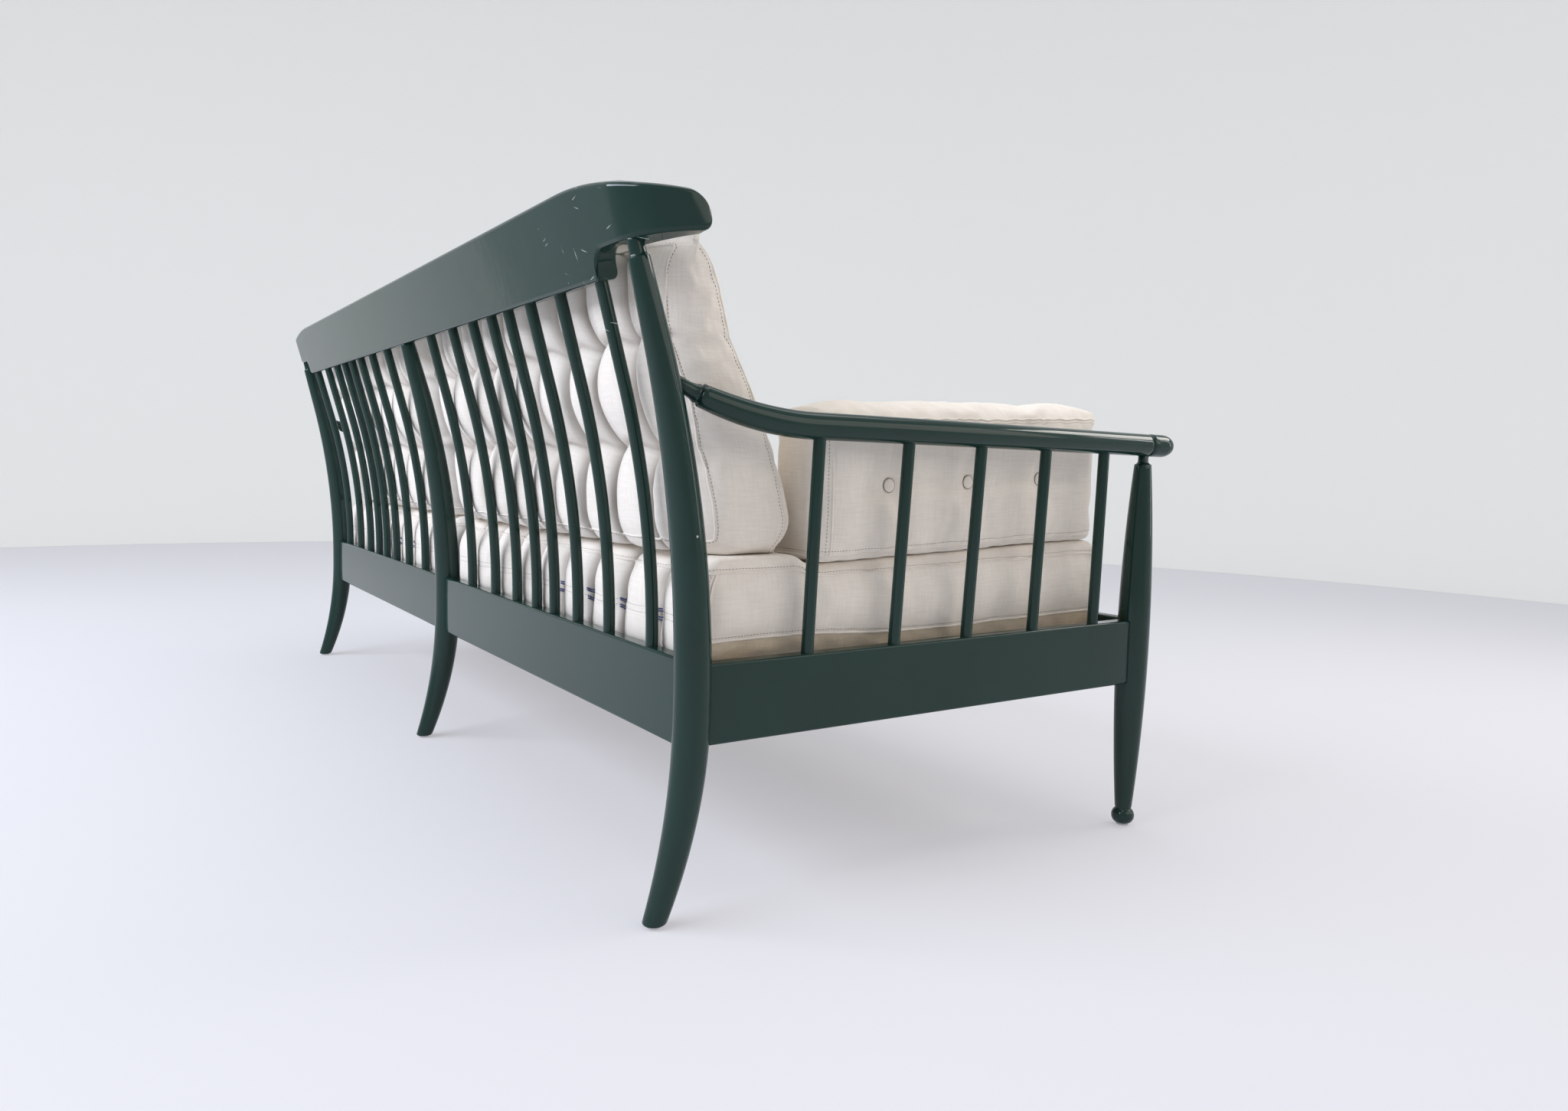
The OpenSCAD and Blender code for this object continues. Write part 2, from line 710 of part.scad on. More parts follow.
// Distances along the armrest and its radius there, from its tenon in the back leg to its knob
arm_out = post_radius(arm_z + arm_rise) / cos(post_tilt(arm_z + arm_rise)) - post_y(arm_z + arm_rise);
arm_in = arm_out - tenon_in;
groove_d = leg_depth + 6;
arm_end = leg_depth + arm_over;
knob_nose = 22;
function arm_stations() = concat(
    [[arm_in, arm_neck_d / 2], [arm_out + 4, arm_neck_d / 2], [arm_shoulder - 9, arm_neck_d / 2 + 1]],
    [[arm_shoulder - 4, arm_neck_d / 2 + 3], [arm_shoulder - 2.5, arm_neck_d / 2 + 2.4]],
    [[arm_shoulder - 0.6, arm_neck_d / 2 + 2.8], [arm_shoulder, arm_d / 2 - 3]],
    [for (i = [1 : 5]) let (t = i / 5) [lerp(arm_shoulder, arm_level, t), arm_d / 2 - 3 * pow(1 - t, 3)]],
    [for (i = [0 : 6]) [lerp(arm_level * 1.4, groove_d - 8, i / 6), arm_d / 2]],
    [[groove_d - 2.5, arm_d / 2 - 0.6], [groove_d, arm_d / 2 - 3], [groove_d + 3, knob_d / 2 - 0.8]],
    [[groove_d + 8, knob_d / 2], [arm_end - knob_nose, knob_d / 2]],
    [for (a = [25, 45, 62, 76])
        [arm_end - knob_nose * (1 - sin(a)), knob_d / 2 - knob_d * 0.36 * (1 - cos(a))]],
    [[arm_end, knob_d * 0.19]]
);

function arm_ring(d, r) =
    let (
        along = unit(arm_point(d + 1) - arm_point(d - 1)),
        across = unit(cross(along, [0, 0, 1])),
        up = cross(across, along)
    )
    [
        for (i = [arm_sides - 1 : -1 : 0])
            let (a = 360 * i / arm_sides)
            arm_point(d) + r * (cos(a) * across + sin(a) * up)
    ];

module arm_bar() {
    loft([for (p = arm_stations()) arm_ring(p[0], p[1])]);
}

// The armrest's neck, as far as it lies in the back leg
module arm_tenon() {
    loft([for (p = arm_stations()) if (p[0] < arm_shoulder - 3) arm_ring(p[0], p[1])]);
}

module armrest(s) {
    color(lacquer) on_side(s) difference() {
        arm_bar();
        for (i = [1 : arm_spindles]) arm_spindle_rod(i);
        translate([front_x, front_y, front_shoulder_z])
            cylinder(h = arm_z - front_shoulder_z, d = front_neck_d);
    }
}

// Webbing

// Bar along X from x0 to x1, with upright sides, whose top and foot follow the webbing's slope
module sloped_bar(x0, x1, d0, d1, above, below) {
    translate([x0, 0, 0]) rotate([90, 0, 90]) linear_extrude(x1 - x0) polygon([
        [rear_y - d0, web_z(d0) + above], [rear_y - d1, web_z(d1) + above],
        [rear_y - d1, web_z(d1) + below], [rear_y - d0, web_z(d0) + below]
    ]);
}

module batten(end) {
    d0 = end > 0 ? batten_rear_d : batten_front_d - batten_w;
    difference() {
        sloped_bar(batten_x0, batten_x1, d0, d0 + batten_w, -strap_t, -strap_t - batten_h);
        for (i = [1 : bay_straps]) strap_clip(i, end, clip_t);
        for (x = screw_places) batten_screw(x, end);
    }
}

module strap_battens() {
    color(bare_wood) for (s = SIDES, end = [1, -1]) on_side(s) batten(end);
}

function strap_x(i) = lerp(batten_x0, batten_x1, (i - 0.5) / bay_straps);
strap_in = 4;

module strap(i) {
    x = strap_x(i) - strap_w / 2;
    end_in = strap_in + clip_t;
    sloped_bar(x, x + strap_w, batten_rear_d + end_in, batten_front_d - end_in, 0, -strap_t);
}

module seat_straps() {
    color(rubber) for (s = SIDES, i = [1 : bay_straps]) on_side(s) strap(i);
}

// Steel clip folded over a strap's end and let into the batten
module strap_clip(i, end, spare = 0) {
    d0 = end > 0 ? batten_rear_d + strap_in : batten_front_d - strap_in - clip_w;
    x = strap_x(i) - strap_w / 2 - clip_t;
    sloped_bar(x, x + strap_w + 2 * clip_t, d0, d0 + clip_w, clip_t, -strap_t - clip_t);
}

module strap_clips() {
    color(steel) for (s = SIDES, i = [1 : bay_straps], end = [1, -1]) on_side(s) difference() {
        strap_clip(i, end);
        strap(i);
    }
}

// Corner blocks, mitred between two rails, and the wood screws

side_angle = atan2(front_splay, leg_depth);
block_z = web_z(leg_depth / 2) - strap_t - 8 - block_h / 2;

// Places on the back or front rail and on the side rail, run from the corner leg's axis
function block_on_rail(end, run) =
    [(end > 0 ? half_span : front_x) - run, (end > 0 ? rear_y : front_y) - end * rail_t / 2];
function block_on_side(end, run) =
    let (d = end > 0 ? run : leg_depth - run) [rail_x(d) - rail_t / 2 / cos(side_angle), rear_y - d];

module corner_block(end) {
    outer = block_in;
    inner = block_in + block_t * sqrt(2);
    difference() {
        translate([0, 0, block_z - block_h / 2]) linear_extrude(block_h) polygon([
            block_on_rail(end, outer), block_on_rail(end, inner),
            block_on_side(end, inner), block_on_side(end, outer)
        ]);
        block_screw(end, 0);
        block_screw(end, 1);
    }
}

module corner_blocks() {
    color(bare_wood) for (s = SIDES, end = [1, -1]) on_side(s) corner_block(end);
}

module wood_screw(a, v) {
    head_h = 2.5;
    rod(a, a + v * screw_l, screw_d);
    rod(a - v * 0.01, a + v * head_h, screw_d * 1.9);
}

module batten_screw(x, end) {
    d = end > 0 ? batten_rear_d + batten_w : batten_front_d - batten_w;
    wood_screw([x, rear_y - d, web_z(d) - strap_t - batten_h / 2], [0, end, 0]);
}

// Screw through a corner block into its back or front rail, or into its side rail
module block_screw(end, on_side_rail) {
    run = block_in + block_t * 0.75;
    p = on_side_rail ? block_on_side(end, run) : block_on_rail(end, run);
    v = on_side_rail ? [cos(side_angle), sin(side_angle), 0] : [0, end, 0];
    wood_screw([p.x, p.y, block_z] - v * (screw_l - rail_t * 0.6), v);
}

module frame_screws() {
    color(steel) for (s = SIDES) on_side(s) {
        for (end = [1, -1], x = screw_places) batten_screw(x, end);
        for (end = [1, -1], kind = [0, 1]) block_screw(end, kind);
    }
}

// Cushions

soft_corner = 15;
seat_x0 = ease;
seat_reach = half_span - rail_t / 2 - seat_side_gap;
seat_x1 = seat_reach - 2;
seat_d0 = spindle_d / 2 + ease + 2;
seat_d1 = leg_depth - rail_t / 2 - seat_front_gap;
seat_mid_d = (seat_d0 + seat_d1) / 2;
function seat_low(d) = web_z(d) + clip_t + ease;
function seat_top(d) = seat_low(d) + seat_t;
arm_cushion_mid_x = seat_reach + arm_cushion_over - 4 - arm_cushion_t / 2;
arm_cushion_x0 = arm_cushion_mid_x - arm_cushion_t / 2;
arm_cushion_d0 = back_cushion_t + 6;
arm_cushion_d1 = seat_d1 - 8;

// Section of a boxed cushion as [u, w, side, t]. Side 0 is +u, 1 is +w, 2 is -u and 3 is -w.
// places holds, for each side, how far along it each point lies, from -1 to 1
function box_section(u, w, places) = [
    for (side = [0 : 3], t = places[side])
        let (
            c = min(soft_corner, w * 0.6),
            along = side % 2 == 0 ? t * (w - c) : t * (u - c)
        )
        side == 0 ? [u, along, side, t]
        : side == 1 ? [-along, w, side, t]
        : side == 2 ? [-u, -along, side, t]
        : [along, -w, side, t]
];

// Insets of the rounded ends of a seat or arm cushion, as [distance from the end, inset]
rounded_end = [[0, soft_corner], [soft_corner * 0.35, soft_corner * 0.35], [soft_corner * 1.6, 0]];

// Seat cushion: flat where the other cushions rest, crowned between them, tufted along its back boxing
sink_d = [arm_cushion_d0 - 22, arm_cushion_d0 - 2];
top_d = concat(sink_d, [for (t = [0.2, 0.55, 0.84]) lerp(arm_cushion_d0, seat_d1, t)]);
top_places = [for (d = top_d) (d - seat_mid_d) / ((seat_d1 - seat_d0) / 2 - soft_corner)];
seat_places = [[-1, -0.5, 0, 0.5, 1], concat([-1], top_places, [1]), [-1, 0, 1], [-1, 0, 1]];

// How far the arm cushion presses the seat cushion down
function sink(d) =
    arm_sink * ramp((d - sink_d[0]) / (sink_d[1] - sink_d[0]))
    * ramp((arm_cushion_d1 - d) / (arm_cushion_d1 - arm_cushion_d0));

function seat_ring(x, inset) =
    let (
        half_d = (seat_d1 - seat_d0) / 2,
        from_end = min(x - seat_x0, seat_x1 - x),
        valley = pow(abs(cos(180 * (x - seat_x0) / tuft_pitch)), 3) * ramp(from_end / 70),
        beside_leg = 13 * pow(ramp((36 - x) / 36), 0.5),
        beside_arm = ramp((arm_cushion_x0 - x) / 90) * ramp((x - seat_x0) / 90),
        under_arm = ramp((x - arm_cushion_x0 + 28) / 26)
    )
    [
        for (p = box_section(half_d - inset, seat_t / 2 - inset * 0.7, seat_places))
            let (
                open = 1 - p[3] * p[3],
                back_in = p[2] == 0 ? seat_tuft * valley * open : 0,
                front_out = p[2] == 2 ? 3 * open : 0,
                d = seat_mid_d - p[0] + back_in + front_out + beside_leg * p[0] / half_d,
                in_front = ramp((d - seat_d0 - back_cushion_t) / 120) * ramp((seat_d1 - d) / 90),
                crown = p[2] == 1 ? seat_crown * in_front * beside_arm - sink(d) * under_arm : 0
            )
            [x, rear_y - d, seat_low(d) + seat_t / 2 + p[1] + crown]
    ];

// Stations along a tufted cushion from x0 to x1, each offset in steps from a column of tufts
function tuft_stations(x0, x1, margin, steps) = [
    for (k = [0 : ceil((x1 - x0) / tuft_pitch)], step = steps)
        let (x = x0 + k * tuft_pitch + step)
        if (x > x0 + margin && x < x1 - margin) x
];

module seat_cushion(s) {
    quarter = tuft_pitch / 4;
    middle = tuft_stations(seat_x0, seat_x1, 30, [-quarter, 0, quarter, 2 * quarter]);
    stations = concat(
        [for (e = rounded_end) [seat_x0 + e[0], e[1]]],
        [for (x = middle) [x, 0]],
        [for (i = [2 : -1 : 0]) [seat_x1 - rounded_end[i][0], rounded_end[i][1]]]
    );
    color(linen) on_side(s) loft([for (p = stations) seat_ring(p[0], p[1])]);
}

// Back cushion: leans on the spindles, thick at its foot, pleated between rows of tufts
back_x0 = seat_x0 + 2;
back_x1 = half_span - leg_d / 2 - 12;
back_low_d = spindle_d / 2 + ease;
back_top_z = seat_top(0) + ease + back_cushion_h;
back_limit = (crest_z - crest_down - kink_z) * tan(back_lean) - crest_t / 2 - 10;
button_flat = 10.5;
back_rows = [1 / 3, 2 / 3];
back_row_step = button_flat / back_cushion_h;

// Distance of the spindles' fronts at height z, and of a back cushion's two faces
function contact_d(z) = max(spindle_d / 2 + ease - spindle_y(z), -back_limit);
function back_thick(v) = lerp(back_cushion_t, back_cushion_top_t, pow(v, 1.7));
function back_z(d, v) = lerp(seat_top(d) + ease, back_top_z, v);

// Share of a pleat's depth at x, and nearness of height share v to a row of tufts
function column(x) =
    let (off = abs(x - back_x0 - tuft_pitch * round((x - back_x0) / tuft_pitch)))
    pow(cos(180 * max(0, off - button_flat) / (tuft_pitch - 2 * button_flat)), 2);
function row(v) = max(0, 1 - max(0, min([for (r = back_rows) abs(v - r)]) - back_row_step) / 0.1);

// Height shares of the section's points, up the back face and down the front face
back_shares = [0.02, 0.1, 0.22, 1 / 3, 0.44, 0.56, 2 / 3, 0.78, 0.9, 0.97];
front_shares = [
    0.97, 0.88, 2 / 3 + back_row_step, 2 / 3 - back_row_step,
    1 / 3 + back_row_step, 1 / 3 - back_row_step, 0.14, 0.04
];

function back_face_d(x, v) =
    let (
        z = back_z(back_low_d, v),
        from_end = min((x - back_x0) / 90, (back_x1 - x) / 130),
        away = 58 * pow(ramp(1 - from_end), 2),
        edge = 12 * pow(ramp((0.12 - v) / 0.1), 2) + 16 * pow(ramp((v - 0.88) / 0.1), 2),
        fold = pleat * column(x) * pow(sin(180 * v), 0.7) * ramp(from_end * 1.5),
        tuft = 6 * row(v) * ramp(from_end * 1.5)
    )
    contact_d(z) + edge + max(away, fold + tuft * (1 - 0.6 * column(x)));

function front_face_d(x, v) =
    let (
        z = back_z(back_cushion_t, v),
        from_end = min((x - back_x0) / 70, (back_x1 - x) / 70),
        away = 12 * pow(ramp(1 - from_end), 2),
        edge = 24 * pow(ramp((0.12 - v) / 0.1), 2) + 18 * pow(ramp((v - 0.88) / 0.09), 2),
        dimple = 10 * column(x) * row(v) * ramp(from_end * 1.5)
    )
    contact_d(z) + back_thick(v) - edge - away - dimple;

function back_ring(x, shrink) =
    let (
        rise = 7 * ramp(min(x - back_x0, back_x1 - x) / 60),
        ring = concat(
            [for (v = back_shares) let (d = back_face_d(x, v)) [x, d, back_z(d, v)]],
            [for (u = [0.33, 0.67])
                [x, lerp(back_face_d(x, 0.97), front_face_d(x, 0.97), u), back_top_z + rise]],
            [for (v = front_shares) let (d = front_face_d(x, v)) [x, d, back_z(d, v)]],
            let (d = lerp(back_face_d(x, 0.02), front_face_d(x, 0.04), 0.5)) [[x, d, back_z(d, 0)]]
        ),
        d_mid = (back_face_d(x, 0.5) + front_face_d(x, 0.5)) / 2,
        z_mid = back_z(d_mid, 0.5)
    )
    [for (p = ring) [x, rear_y - lerp(p.y, d_mid, 0.55 * shrink), lerp(p.z, z_mid, 0.12 * shrink)]];

module back_cushion(s) {
    flat = button_flat;
    middle = tuft_stations(back_x0, back_x1, 32, [-34, -flat, flat, 34, tuft_pitch / 2]);
    ends = [[0, 1], [5, 0.5], [15, 0.2], [32, 0]];
    stations = concat(
        [for (e = ends) [back_x0 + e[0], e[1]]],
        [for (x = middle) [x, 0]],
        [for (i = [3 : -1 : 0]) [back_x1 - ends[i][0], ends[i][1]]]
    );
    color(linen) on_side(s) loft([for (p = stations) back_ring(p[0], p[1])]);
}

// Arm cushion: stands on the seat cushion in front of the back cushion, with buttons on both faces
button_dip = 9;
button_places = [for (k = [-1 : 1]) (arm_cushion_d0 + arm_cushion_d1) / 2 - 9 + k * button_pitch];
arm_row = button_flat / (arm_cushion_h / 2 - soft_corner);
arm_places = [
    [-1, -0.55, -arm_row, arm_row, 0.55, 1], [-1, -0.35, 0.35, 1],
    [-1, -0.55, -arm_row, arm_row, 0.55, 1], [-1, 0, 1]
];

function arm_cushion_z(d) = seat_top(d) - sink(d) + ease + arm_cushion_h / 2;

function arm_cushion_ring(d, inset) =
    let (
        end = ramp(min(d - arm_cushion_d0, arm_cushion_d1 - d) / 60),
        near = min([for (b = button_places) max(0, abs(d - b) - button_flat)]),
        dip = button_dip * pow(ramp(1 - near / 44), 1.5)
    )
    [
        for (p = box_section(arm_cushion_t / 2 - inset, arm_cushion_h / 2 - inset * 0.8, arm_places))
            let (
                open = 1 - p[3] * p[3],
                at_button = ramp((0.55 - abs(p[3])) / (0.55 - arm_row)),
                bulge = 4 * open * end - dip * at_button,
                out = p[2] == 0 ? bulge : p[2] == 2 ? -bulge : 0,
                crown = p[2] == 1 ? arm_crown * open * (0.4 + 0.6 * end) : 0
            )
            [arm_cushion_mid_x + p[0] + out, rear_y - d, arm_cushion_z(d) + p[1] + crown]
    ];

module arm_cushion(s) {
    middle = [for (b = button_places, step = [-54, -30, -button_flat, button_flat, 30, 54]) b + step];
    stations = concat(
        [for (e = rounded_end) [arm_cushion_d0 + e[0], e[1]]],
        [for (d = middle) [d, 0]],
        [for (i = [2 : -1 : 0]) [arm_cushion_d1 - rounded_end[i][0], rounded_end[i][1]]]
    );
    color(linen) on_side(s) loft([for (p = stations) arm_cushion_ring(p[0], p[1])]);
}

// Covered buttons, sewn down on the flat floors of the cushions' dimples

seam_gap = 0.15;

module covered_button() {
    h = 6;
    r = button_d / 2;
    rotate_extrude($fn = 24)
        polygon([
            [0, 0], [r - 1, 0], [r, 1.5], [r - 1, 3.2],
            [r * 0.67, h - 1.2], [r * 0.33, h - 0.2], [0, h]
        ]);
}

module arm_buttons(s) {
    out = arm_cushion_t / 2 + 4 * (1 - arm_row * arm_row) - button_dip + seam_gap;
    color(linen) on_side(s) for (d = button_places, face = [-1, 1])
        translate([arm_cushion_mid_x + face * out, rear_y - d, arm_cushion_z(d)])
            rotate([0, face * 90, 0]) covered_button();
}

module back_buttons(s) {
    columns = floor((back_x1 - back_x0 - 40) / tuft_pitch);
    color(linen) on_side(s) for (k = [1 : columns], v = back_rows) {
        x = back_x0 + k * tuft_pitch;
        d0 = front_face_d(x, v - back_row_step);
        d1 = front_face_d(x, v + back_row_step);
        z0 = back_z(d0, v - back_row_step);
        z1 = back_z(d1, v + back_row_step);
        lean = atan2(d0 - d1, z1 - z0);
        translate([x, rear_y - (d0 + d1) / 2, (z0 + z1) / 2]) rotate([90 - lean, 0, 0])
            translate([0, 0, seam_gap]) covered_button();
    }
}

crest_rail();
middle_leg();  // back_leg_middle
front_leg_middle();
centre_rail();
strap_battens();
seat_straps();
strap_clips();
corner_blocks();
frame_screws();
foot_glides();
for (s = SIDES) {
    corner_leg(s);
    front_leg(s);
    back_rail(s);
    front_rail(s);
    side_rail(s);
    armrest(s);
    seat_cushion(s);
    back_cushion(s);
    arm_cushion(s);
    back_buttons(s);
    arm_buttons(s);
    for (i = [1 : bay_spindles])
        back_spindle(s, i);
    for (i = [1 : arm_spindles])
        arm_spindle(s, i);
}
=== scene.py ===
"""Dresses a spindle-back sofa: lacquered frame, tufted linen cushions, floor, lamps and camera."""

import logging
import math
from dataclasses import dataclass
from enum import Enum
from functools import partial
from typing import Any, Callable, Sequence

import bpy
import numpy as np
from mathutils import Matrix, Vector
from mathutils.bvhtree import BVHTree


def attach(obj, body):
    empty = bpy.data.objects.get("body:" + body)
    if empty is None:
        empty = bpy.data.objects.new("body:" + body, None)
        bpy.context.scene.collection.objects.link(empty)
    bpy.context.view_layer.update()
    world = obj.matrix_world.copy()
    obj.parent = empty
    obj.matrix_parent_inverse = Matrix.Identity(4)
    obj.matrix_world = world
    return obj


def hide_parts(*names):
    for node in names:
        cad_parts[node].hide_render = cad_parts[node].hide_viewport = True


MM = 0.001
LOG = logging.getLogger("sofa")
Points = np.ndarray
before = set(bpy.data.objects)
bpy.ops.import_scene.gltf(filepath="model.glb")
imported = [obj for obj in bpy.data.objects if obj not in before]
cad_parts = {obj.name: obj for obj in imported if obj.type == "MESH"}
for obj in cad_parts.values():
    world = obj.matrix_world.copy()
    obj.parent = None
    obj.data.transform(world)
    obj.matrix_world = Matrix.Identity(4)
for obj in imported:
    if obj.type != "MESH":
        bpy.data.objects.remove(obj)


class Side(Enum):
    """The two mirrored halves of the sofa."""

    LEFT = -1
    RIGHT = 1

    @property
    def word(self) -> str:
        """The side's name as the parts spell it."""
        return self.name.lower()

    @property
    def mirror(self) -> Points:
        """Factors that take points of the right side to this side."""
        return np.array([self.value, 1, 1])


class Panel(Enum):
    """Which cloth a stretch of cushion cover is cut from."""

    LINEN = 0
    BASE_CLOTH = 1


# Sizes, in millimetres, in the part's own frame


@dataclass(frozen=True)
class Sizes:
    """Sizes of the frame, with the lines that its pieces follow.

    d is a distance in front of the back legs' axes.
    """

    leg_span: float = 1939
    leg_depth: float = 747
    front_splay: float = 42.5
    leg_d: float = 44.8
    leg_foot_d: float = 29
    leg_top_d: float = 25
    lean: float = math.radians(15.5)
    kink_z: float = 474
    leg_bend_z: float = 270
    foot_bend_z: float = 250
    foot_back: float = 45
    neck_l: float = 19
    glide_h: float = 2.5
    rail_t: float = 23
    back_rail_top: float = 309.5
    back_rail_h: float = 105
    side_rail_rear_top: float = 304.5
    front_rail_top: float = 322
    side_rail_h: float = 97
    web_drop: float = 12
    strap_t: float = 3
    crest_z: float = 776.5
    crest_t: float = 28
    crest_up: float = 77.3
    crest_down: float = 32.6
    crest_edge: float = 6
    arm_d: float = 33.4
    arm_z: float = 586.5
    arm_rise: float = 35
    arm_level: float = 150
    arm_bow: float = 16.5
    arm_over: float = 57
    knob_d: float = 34
    spindle_d: float = 16
    socket: float = 18

    @property
    def half_span(self) -> float:
        """Distance from the middle to a corner back leg's axis."""
        return self.leg_span / 2

    @property
    def front_x(self) -> float:
        """Distance from the middle to a corner front leg's axis."""
        return self.half_span + self.front_splay

    @property
    def rear_y(self) -> float:
        """Place of the back legs' axes."""
        back = (
            (self.crest_z - self.kink_z) * math.tan(self.lean)
            + self.crest_t / 2 * math.cos(self.lean)
            + (self.crest_up - self.crest_edge) * math.sin(self.lean)
        )
        slant = self.knob_d * 0.19 * self.front_splay / self.leg_depth
        return (self.leg_depth + self.arm_over + slant - back) / 2

    def lean_y(self, z: Points, start: float) -> Points:
        """Distance of the back's line behind the legs' axes.

        Args:
            z: heights.
            start: height where the line starts to bend.

        Returns:
            The distance at each height.
        """
        r = (self.kink_z - start) / math.tan(self.lean / 2)
        z = np.asarray(z, float)
        arc = r - np.sqrt(np.maximum(0, r * r - np.clip(z - start, 0, r) ** 2))
        straight = (z - self.kink_z) * math.tan(self.lean)
        return np.where(z <= start, 0, np.where(z < start + r * math.sin(self.lean), arc, straight))

    def post_y(self, z: Points) -> Points:
        """Distance of a back leg's line behind its axis at the rails, at heights z."""
        z = np.asarray(z, float)
        r = (self.foot_bend_z**2 + self.foot_back**2) / (2 * self.foot_back)
        low = np.clip(self.foot_bend_z - z, 0, None)
        return np.where(z < self.foot_bend_z, r - np.sqrt(r * r - low**2), self.lean_y(z, self.leg_bend_z))

    def post_tilt(self, z: float) -> float:
        """Angle of a back leg's upper part from upright at height z."""
        r = (self.kink_z - self.leg_bend_z) / math.tan(self.lean / 2)
        return 0.0 if z <= self.leg_bend_z else min(self.lean, math.asin(min(1, (z - self.leg_bend_z) / r)))

    def post_radius(self, z: float) -> float:
        """Radius of a back leg at height z."""
        if z < self.foot_bend_z:
            share = (self.foot_bend_z - z) / self.foot_bend_z
            return self.leg_d / 2 - (self.leg_d - self.leg_foot_d) / 2 * share**1.8
        top = self.crest_z - self.neck_l * math.cos(self.lean)
        share = (z - self.foot_bend_z) / (top - self.foot_bend_z)
        return self.leg_d / 2 - (self.leg_d - self.leg_top_d) / 2 * share**2

    def spindle_y(self, z: Points) -> Points:
        """Distance of a back spindle's line behind the legs' axes at heights z."""
        return self.lean_y(z, self.back_rail_top)

    def rail_x(self, d: Points) -> Points:
        """Place across the sofa of a side rail's middle."""
        return self.half_span + self.front_splay * np.asarray(d, float) / self.leg_depth

    def rail_top(self, d: Points) -> Points:
        """Height of a side rail's top edge."""
        return self.side_rail_rear_top + (self.front_rail_top - self.side_rail_rear_top) * d / self.leg_depth

    def web_z(self, d: Points) -> Points:
        """Height of the webbing's upper face."""
        return self.rail_top(np.asarray(d, float)) - self.web_drop + self.strap_t

    def arm_line(self, d: Points) -> Points:
        """Points of the right armrest's axis at distances d."""
        d = np.asarray(d, float)
        x = self.rail_x(d) + self.arm_bow * np.sin(math.pi * np.clip(d / self.leg_depth, 0, 1) ** 0.8)
        rise = np.maximum(0, (self.arm_level - d) / (self.arm_level + 16)) ** 2
        return np.stack([x, self.rear_y - d, self.arm_z + self.arm_rise * rise], -1)

    def from_crest(self, x: Points, v: Points, w: Points) -> Points:
        """Points given in the crest rail's leaned frame, v out of its back and w along its lean.

        Returns:
            The points in the part's frame.
        """
        c, s = math.cos(self.lean), math.sin(self.lean)
        y = self.rear_y + (self.crest_z - self.kink_z) * math.tan(self.lean) + v * c + w * s
        return np.stack(np.broadcast_arrays(x, y, self.crest_z - v * s + w * c), -1)


SIZES = Sizes()


# Finishes

MATH = "ShaderNodeMath"
NOISE = "ShaderNodeTexNoise"
MIX = "ShaderNodeMix"
RANGE = "ShaderNodeMapRange"
MAPPING = "ShaderNodeMapping"
BUMP = "ShaderNodeBump"
ALIGN = "FunctionNodeAlignRotationToVector"
COPIES = "GeometryNodeInstanceOnPoints"
AddNode = Callable[..., Any]


def srgb(code: str) -> tuple[float, float, float, float]:
    """Linear colour of a web colour code.

    Args:
        code: six hex digits, with or without a hash.

    Returns:
        Red, green, blue and an alpha of one.
    """
    parts = [int(code.lstrip("#")[i : i + 2], 16) / 255 for i in (0, 2, 4)]
    linear = [c / 12.92 if c <= 0.04045 else ((c + 0.055) / 1.055) ** 2.4 for c in parts]
    return (linear[0], linear[1], linear[2], 1.0)


def empty_tree(owner: Any) -> bpy.types.NodeTree:
    """Turns on the nodes of a material or world and returns its tree, emptied."""
    owner.use_nodes = True
    owner.node_tree.nodes.clear()
    return owner.node_tree


def add_node(
    tree: bpy.types.NodeTree, kind: str, sockets: dict[Any, Any] | None = None, **settings: Any
) -> Any:
    """Adds a node with its settings, values and links.

    Args:
        tree: the tree that it goes in.
        kind: the node's type name.
        sockets: input name or number, against a value, a node or an output socket.
        settings: properties of the node, set first.

    Returns:
        The node.
    """
    node = tree.nodes.new(kind)
    for name, value in settings.items():
        setattr(node, name, value)
    for key, value in (sockets or {}).items():
        if isinstance(value, bpy.types.Node):
            value = value.outputs[0]
        if isinstance(value, bpy.types.NodeSocket):
            tree.links.new(value, node.inputs[key])
        else:
            node.inputs[key].default_value = value
    return node


@dataclass(frozen=True)
class Finish:
    """A finish that the material nodes are made from."""

    name: str

    def make(self) -> bpy.types.Material:
        """Builds the material once and returns it."""
        known = bpy.data.materials.get(self.name)
        if known:
            return known
        material = bpy.data.materials.new(self.name)
        tree = empty_tree(material)
        place = add_node(tree, "ShaderNodeTexCoord").outputs["Object"]
        sockets = self.dress(partial(add_node, tree), place)
        surface = add_node(tree, "ShaderNodeBsdfPrincipled", sockets)
        add_node(tree, "ShaderNodeOutputMaterial", {"Surface": surface})
        return material

    def dress(self, add: AddNode, place: Any) -> dict[str, Any]:
        """Adds the finish's own nodes.

        Args:
            add: adds a node to the material's tree.
            place: socket with the place on the object.

        Returns:
            What the shader's sockets are set to.
        """
        raise NotImplementedError

    def waves(self, add: AddNode, along: Any, pitch_mm: float) -> Any:
        """Adds a sine of a coordinate in metres, with a wave in every pitch."""
        turned = add(MATH, {0: along, 1: 2 * math.pi / (pitch_mm * MM)}, operation="MULTIPLY")
        return add(MATH, {0: turned}, operation="SINE")


